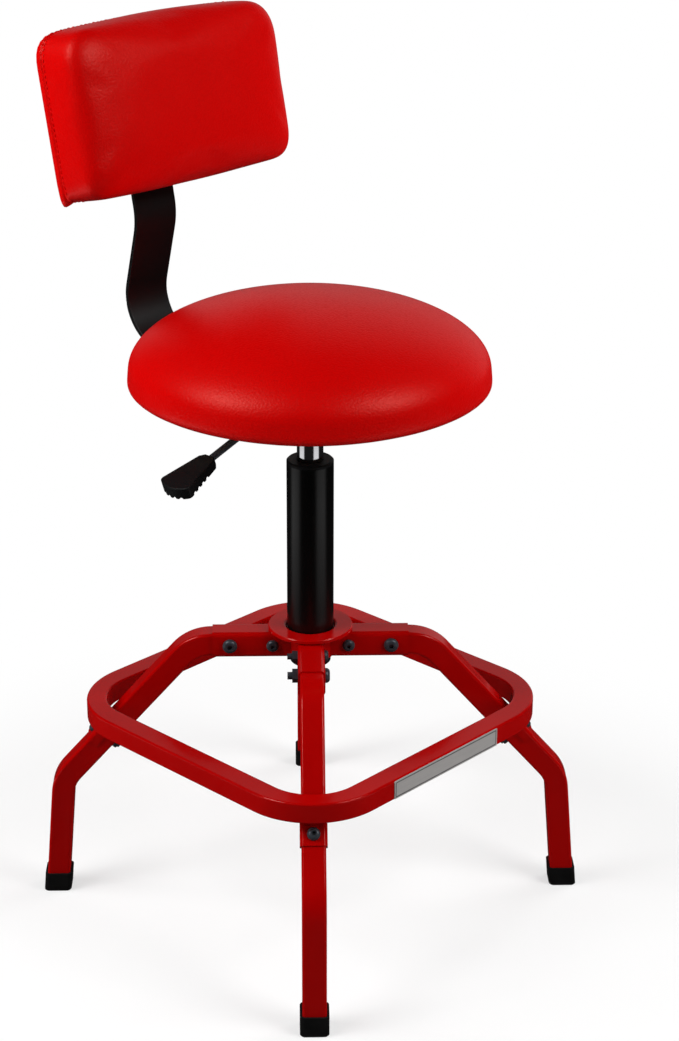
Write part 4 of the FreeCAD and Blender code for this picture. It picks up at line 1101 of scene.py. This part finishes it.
def tab_weld(corner):
    """A bead across the top of one tab, where it meets the ring."""
    out, across, reach, tab_half, top = tab_top(corner)
    half = tab_half - WELD_IN
    path = []
    radii = []
    for step in range(WELD_STEPS + 1):
        off = half * (2 * step / WELD_STEPS - 1)
        path.append(out * reach + across * off + Vector((0.0, 0.0, top)))
        ripple = 1.0 + WELD_RIPPLE * math.sin(2 * math.pi * off / WELD_PITCH)
        taper = math.sqrt(WELD_BLUNT - (off / half) ** 2) ** 0.5
        radii.append(WELD_RADIUS * ripple * taper)
    points = []
    faces = []
    add_strand(points, faces, path, radii, WELD_SIDES)
    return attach(new_piece("tab_weld_" + corner, points, faces, "red_paint"), "base")


for corner in ("front_left", "front_right", "back_left", "back_right"):
    bead = tab_weld(corner)
    print(bead.name, "has", len(bead.data.vertices), "points")

# %% [markdown]
# ## Studio
# The stool stands on a pale floor in a dark room, which keeps the blacks black. To the camera the world
# and the floor are white. To a mirror the floor is dark, with two lit strips that draw bright bands on the
# chrome. A white backdrop gives the pale sheen on the far half of the dome. It is part of the world, so that
# it never stands in the way of a camera on the other side.


# %% Masks for light
def rise(finish, value, low, high):
    """Goes smoothly from 0 to 1 as the value goes from low to high."""
    settings = {"interpolation_type": "SMOOTHSTEP"}
    return finish.node("ShaderNodeMapRange", settings, {"Value": value, 1: low, 2: high})


def seen_by(finish, *rays):
    """1 for these kinds of rays, and 0 for the others."""
    paths = [finish.node("ShaderNodeLightPath", output="Is " + ray + " Ray") for ray in rays]
    total = paths[0]
    for path in paths[1:]:
        total = total.maths("MAXIMUM", total, path)
    return total


def along(finish, way, direction):
    """How far the way goes in one direction."""
    settings = {"operation": "DOT_PRODUCT"}
    return finish.node("ShaderNodeVectorMath", settings, {0: way, 1: direction}, output="Value")


def level_way(bearing):
    """The level direction at that bearing from +X, in degrees."""
    turn = math.radians(bearing)
    return (math.cos(turn), math.sin(turn), 0.0)


# %% Floor
WHITE = (1.0, 1.0, 1.0, 1.0)
FLOOR_SIZE = 14.0
FLOOR_BOUNCE = 0.3
FLOOR_WHITE = 0.57
FLOOR_FADE = (0.38, 0.7)  # in metres from the middle, as are the strip's start and end
STRIP_BEARINGS = (147.0, 279.0)
STRIP_EDGE = (math.cos(math.radians(29.0)), math.cos(math.radians(17.0)))  # dark beyond, lit within
STRIP_START = (0.8, 1.0)
STRIP_END = (1.42, 1.58)
ROOM_DARK = 0.012


def lit_strips(finish, away):
    """1 on the two strips of floor, out to the sides of the stool, that a mirror sees lit."""
    way = finish.node("ShaderNodeVectorMath", {"operation": "NORMALIZE"}, {0: finish.place()})
    strips = []
    for bearing in STRIP_BEARINGS:
        strips.append(rise(finish, along(finish, way, level_way(bearing)), *STRIP_EDGE))
    reach = rise(finish, away, *STRIP_START) * (1.0 - rise(finish, away, *STRIP_END))
    return (strips[0] + strips[1]) * reach


def glowing(finish, strength):
    return finish.node("ShaderNodeEmission", {}, {"Color": WHITE, "Strength": strength})


def blended(finish, share, first, second):
    return finish.node("ShaderNodeMixShader", {}, {0: share, 1: first, 2: second})


def floor_finish():
    """A floor that is one thing to the camera, another to a mirror and a third to the room's light."""
    finish = Finish("studio_floor")
    camera_sees = seen_by(finish, "Camera")
    mirror_sees = seen_by(finish, "Glossy", "Transmission") * (1.0 - camera_sees)
    pale = FLOOR_BOUNCE + (1.0 - FLOOR_BOUNCE) * camera_sees
    finish.surface({"Base Color": pale, "Roughness": 0.9, "Specular IOR Level": 0.0})
    lit = Signal(finish, finish.shader.outputs[0])
    glow = glowing(finish, 1.0)
    away = finish.node("ShaderNodeVectorMath", {"operation": "LENGTH"}, {0: finish.place()}, output="Value")
    white = FLOOR_WHITE + (1.0 - FLOOR_WHITE) * rise(finish, away, *FLOOR_FADE)
    direct = blended(finish, white * camera_sees, lit, glow)
    mirrored = blended(finish, lit_strips(finish, away), glowing(finish, ROOM_DARK), glow)
    shown = blended(finish, mirror_sees, direct, mirrored)
    finish.feed(finish.tree.nodes["Material Output"].inputs["Surface"], shown)
    return finish.material


def make_floor():
    mesh = bpy.data.meshes.new("studio_floor")
    half = FLOOR_SIZE / 2
    corners = [(-half, -half, 0), (half, -half, 0), (half, half, 0), (-half, half, 0)]
    mesh.from_pydata(corners, [], [(0, 1, 2, 3)])
    mesh.materials.append(floor_finish())
    floor = bpy.data.objects.new("studio_floor", mesh)
    scene.collection.objects.link(floor)


make_floor()
print("floor of", FLOOR_SIZE, "m")

# %% World
BACKDROP_LIGHT = 0.3
BACKDROP_BEARING = 30.0
BACKDROP_EDGE = (0.7, 0.92)
BACKDROP_TOP = (0.5, 0.72)


class WorldFinish(Finish):
    """The world's own tree, which has a background in place of the main shader."""

    def __init__(self, world):
        world.use_nodes = True
        self.material = world
        self.tree = world.node_tree
        self.shader = self.tree.nodes["Background"]


def make_world():
    world = bpy.data.worlds.new("studio_world")
    scene.world = world
    finish = WorldFinish(world)
    way = finish.node("ShaderNodeTexCoord", output="Generated")
    height = finish.node("ShaderNodeSeparateXYZ", {}, {0: way}, output="Z")
    behind = rise(finish, along(finish, way, level_way(BACKDROP_BEARING)), *BACKDROP_EDGE)
    studio = ROOM_DARK + BACKDROP_LIGHT * behind * (1.0 - rise(finish, height, *BACKDROP_TOP))
    camera_sees = seen_by(finish, "Camera")
    finish.surface({"Color": WHITE, "Strength": camera_sees + (1.0 - camera_sees) * studio})


make_world()
print("backdrop at a bearing of", BACKDROP_BEARING, "degrees")

# %% [markdown]
# ## Lamps
# Two square soft boxes, left and right of the camera and high up, make the pair of highlights on the seat's
# front roll. Three large low lamps lift the sides of the cushions and throw the short shadows beside the
# feet. They are left out of reflections, or the upright faces of the vinyl would look hazy.

# %% Lamps
LAMP_AIM = Vector((0.0, 0.0, 0.6))
LAMP_DISTANCE = 2.4


def soft_box(name, bearing, height, size, power, in_gloss=True):
    """A square lamp at that bearing from +X and height above level, both in degrees."""
    data = bpy.data.lights.new(name, "AREA")
    data.shape = "SQUARE"
    data.size = size
    data.energy = power
    # Scattered rays that meet a lamp would bring its reflection back, so a lamp without one skips them.
    data.cycles.use_multiple_importance_sampling = in_gloss
    lamp = bpy.data.objects.new(name, data)
    turned = Quaternion((0.0, 0.0, 1.0), math.radians(bearing))
    lifted = Quaternion((0.0, 1.0, 0.0), -math.radians(height))
    out = turned @ lifted @ Vector((LAMP_DISTANCE, 0.0, 0.0))
    facing = (-out).to_track_quat("-Z", "Y")
    lamp.matrix_world = Matrix.Translation(LAMP_AIM + out) @ facing.to_matrix().to_4x4()
    lamp.visible_glossy = in_gloss
    scene.collection.objects.link(lamp)


soft_box("left_box", bearing=161.0, height=43.0, size=0.95, power=24.0)
soft_box("right_box", bearing=-76.0, height=41.0, size=0.95, power=21.0)
soft_box("left_side", bearing=142.0, height=14.0, size=1.5, power=47.0, in_gloss=False)
soft_box("right_side", bearing=-10.0, height=13.0, size=1.5, power=32.0, in_gloss=False)
soft_box("right_front", bearing=-72.0, height=10.0, size=1.5, power=24.0, in_gloss=False)
print("two soft boxes and three low lamps")
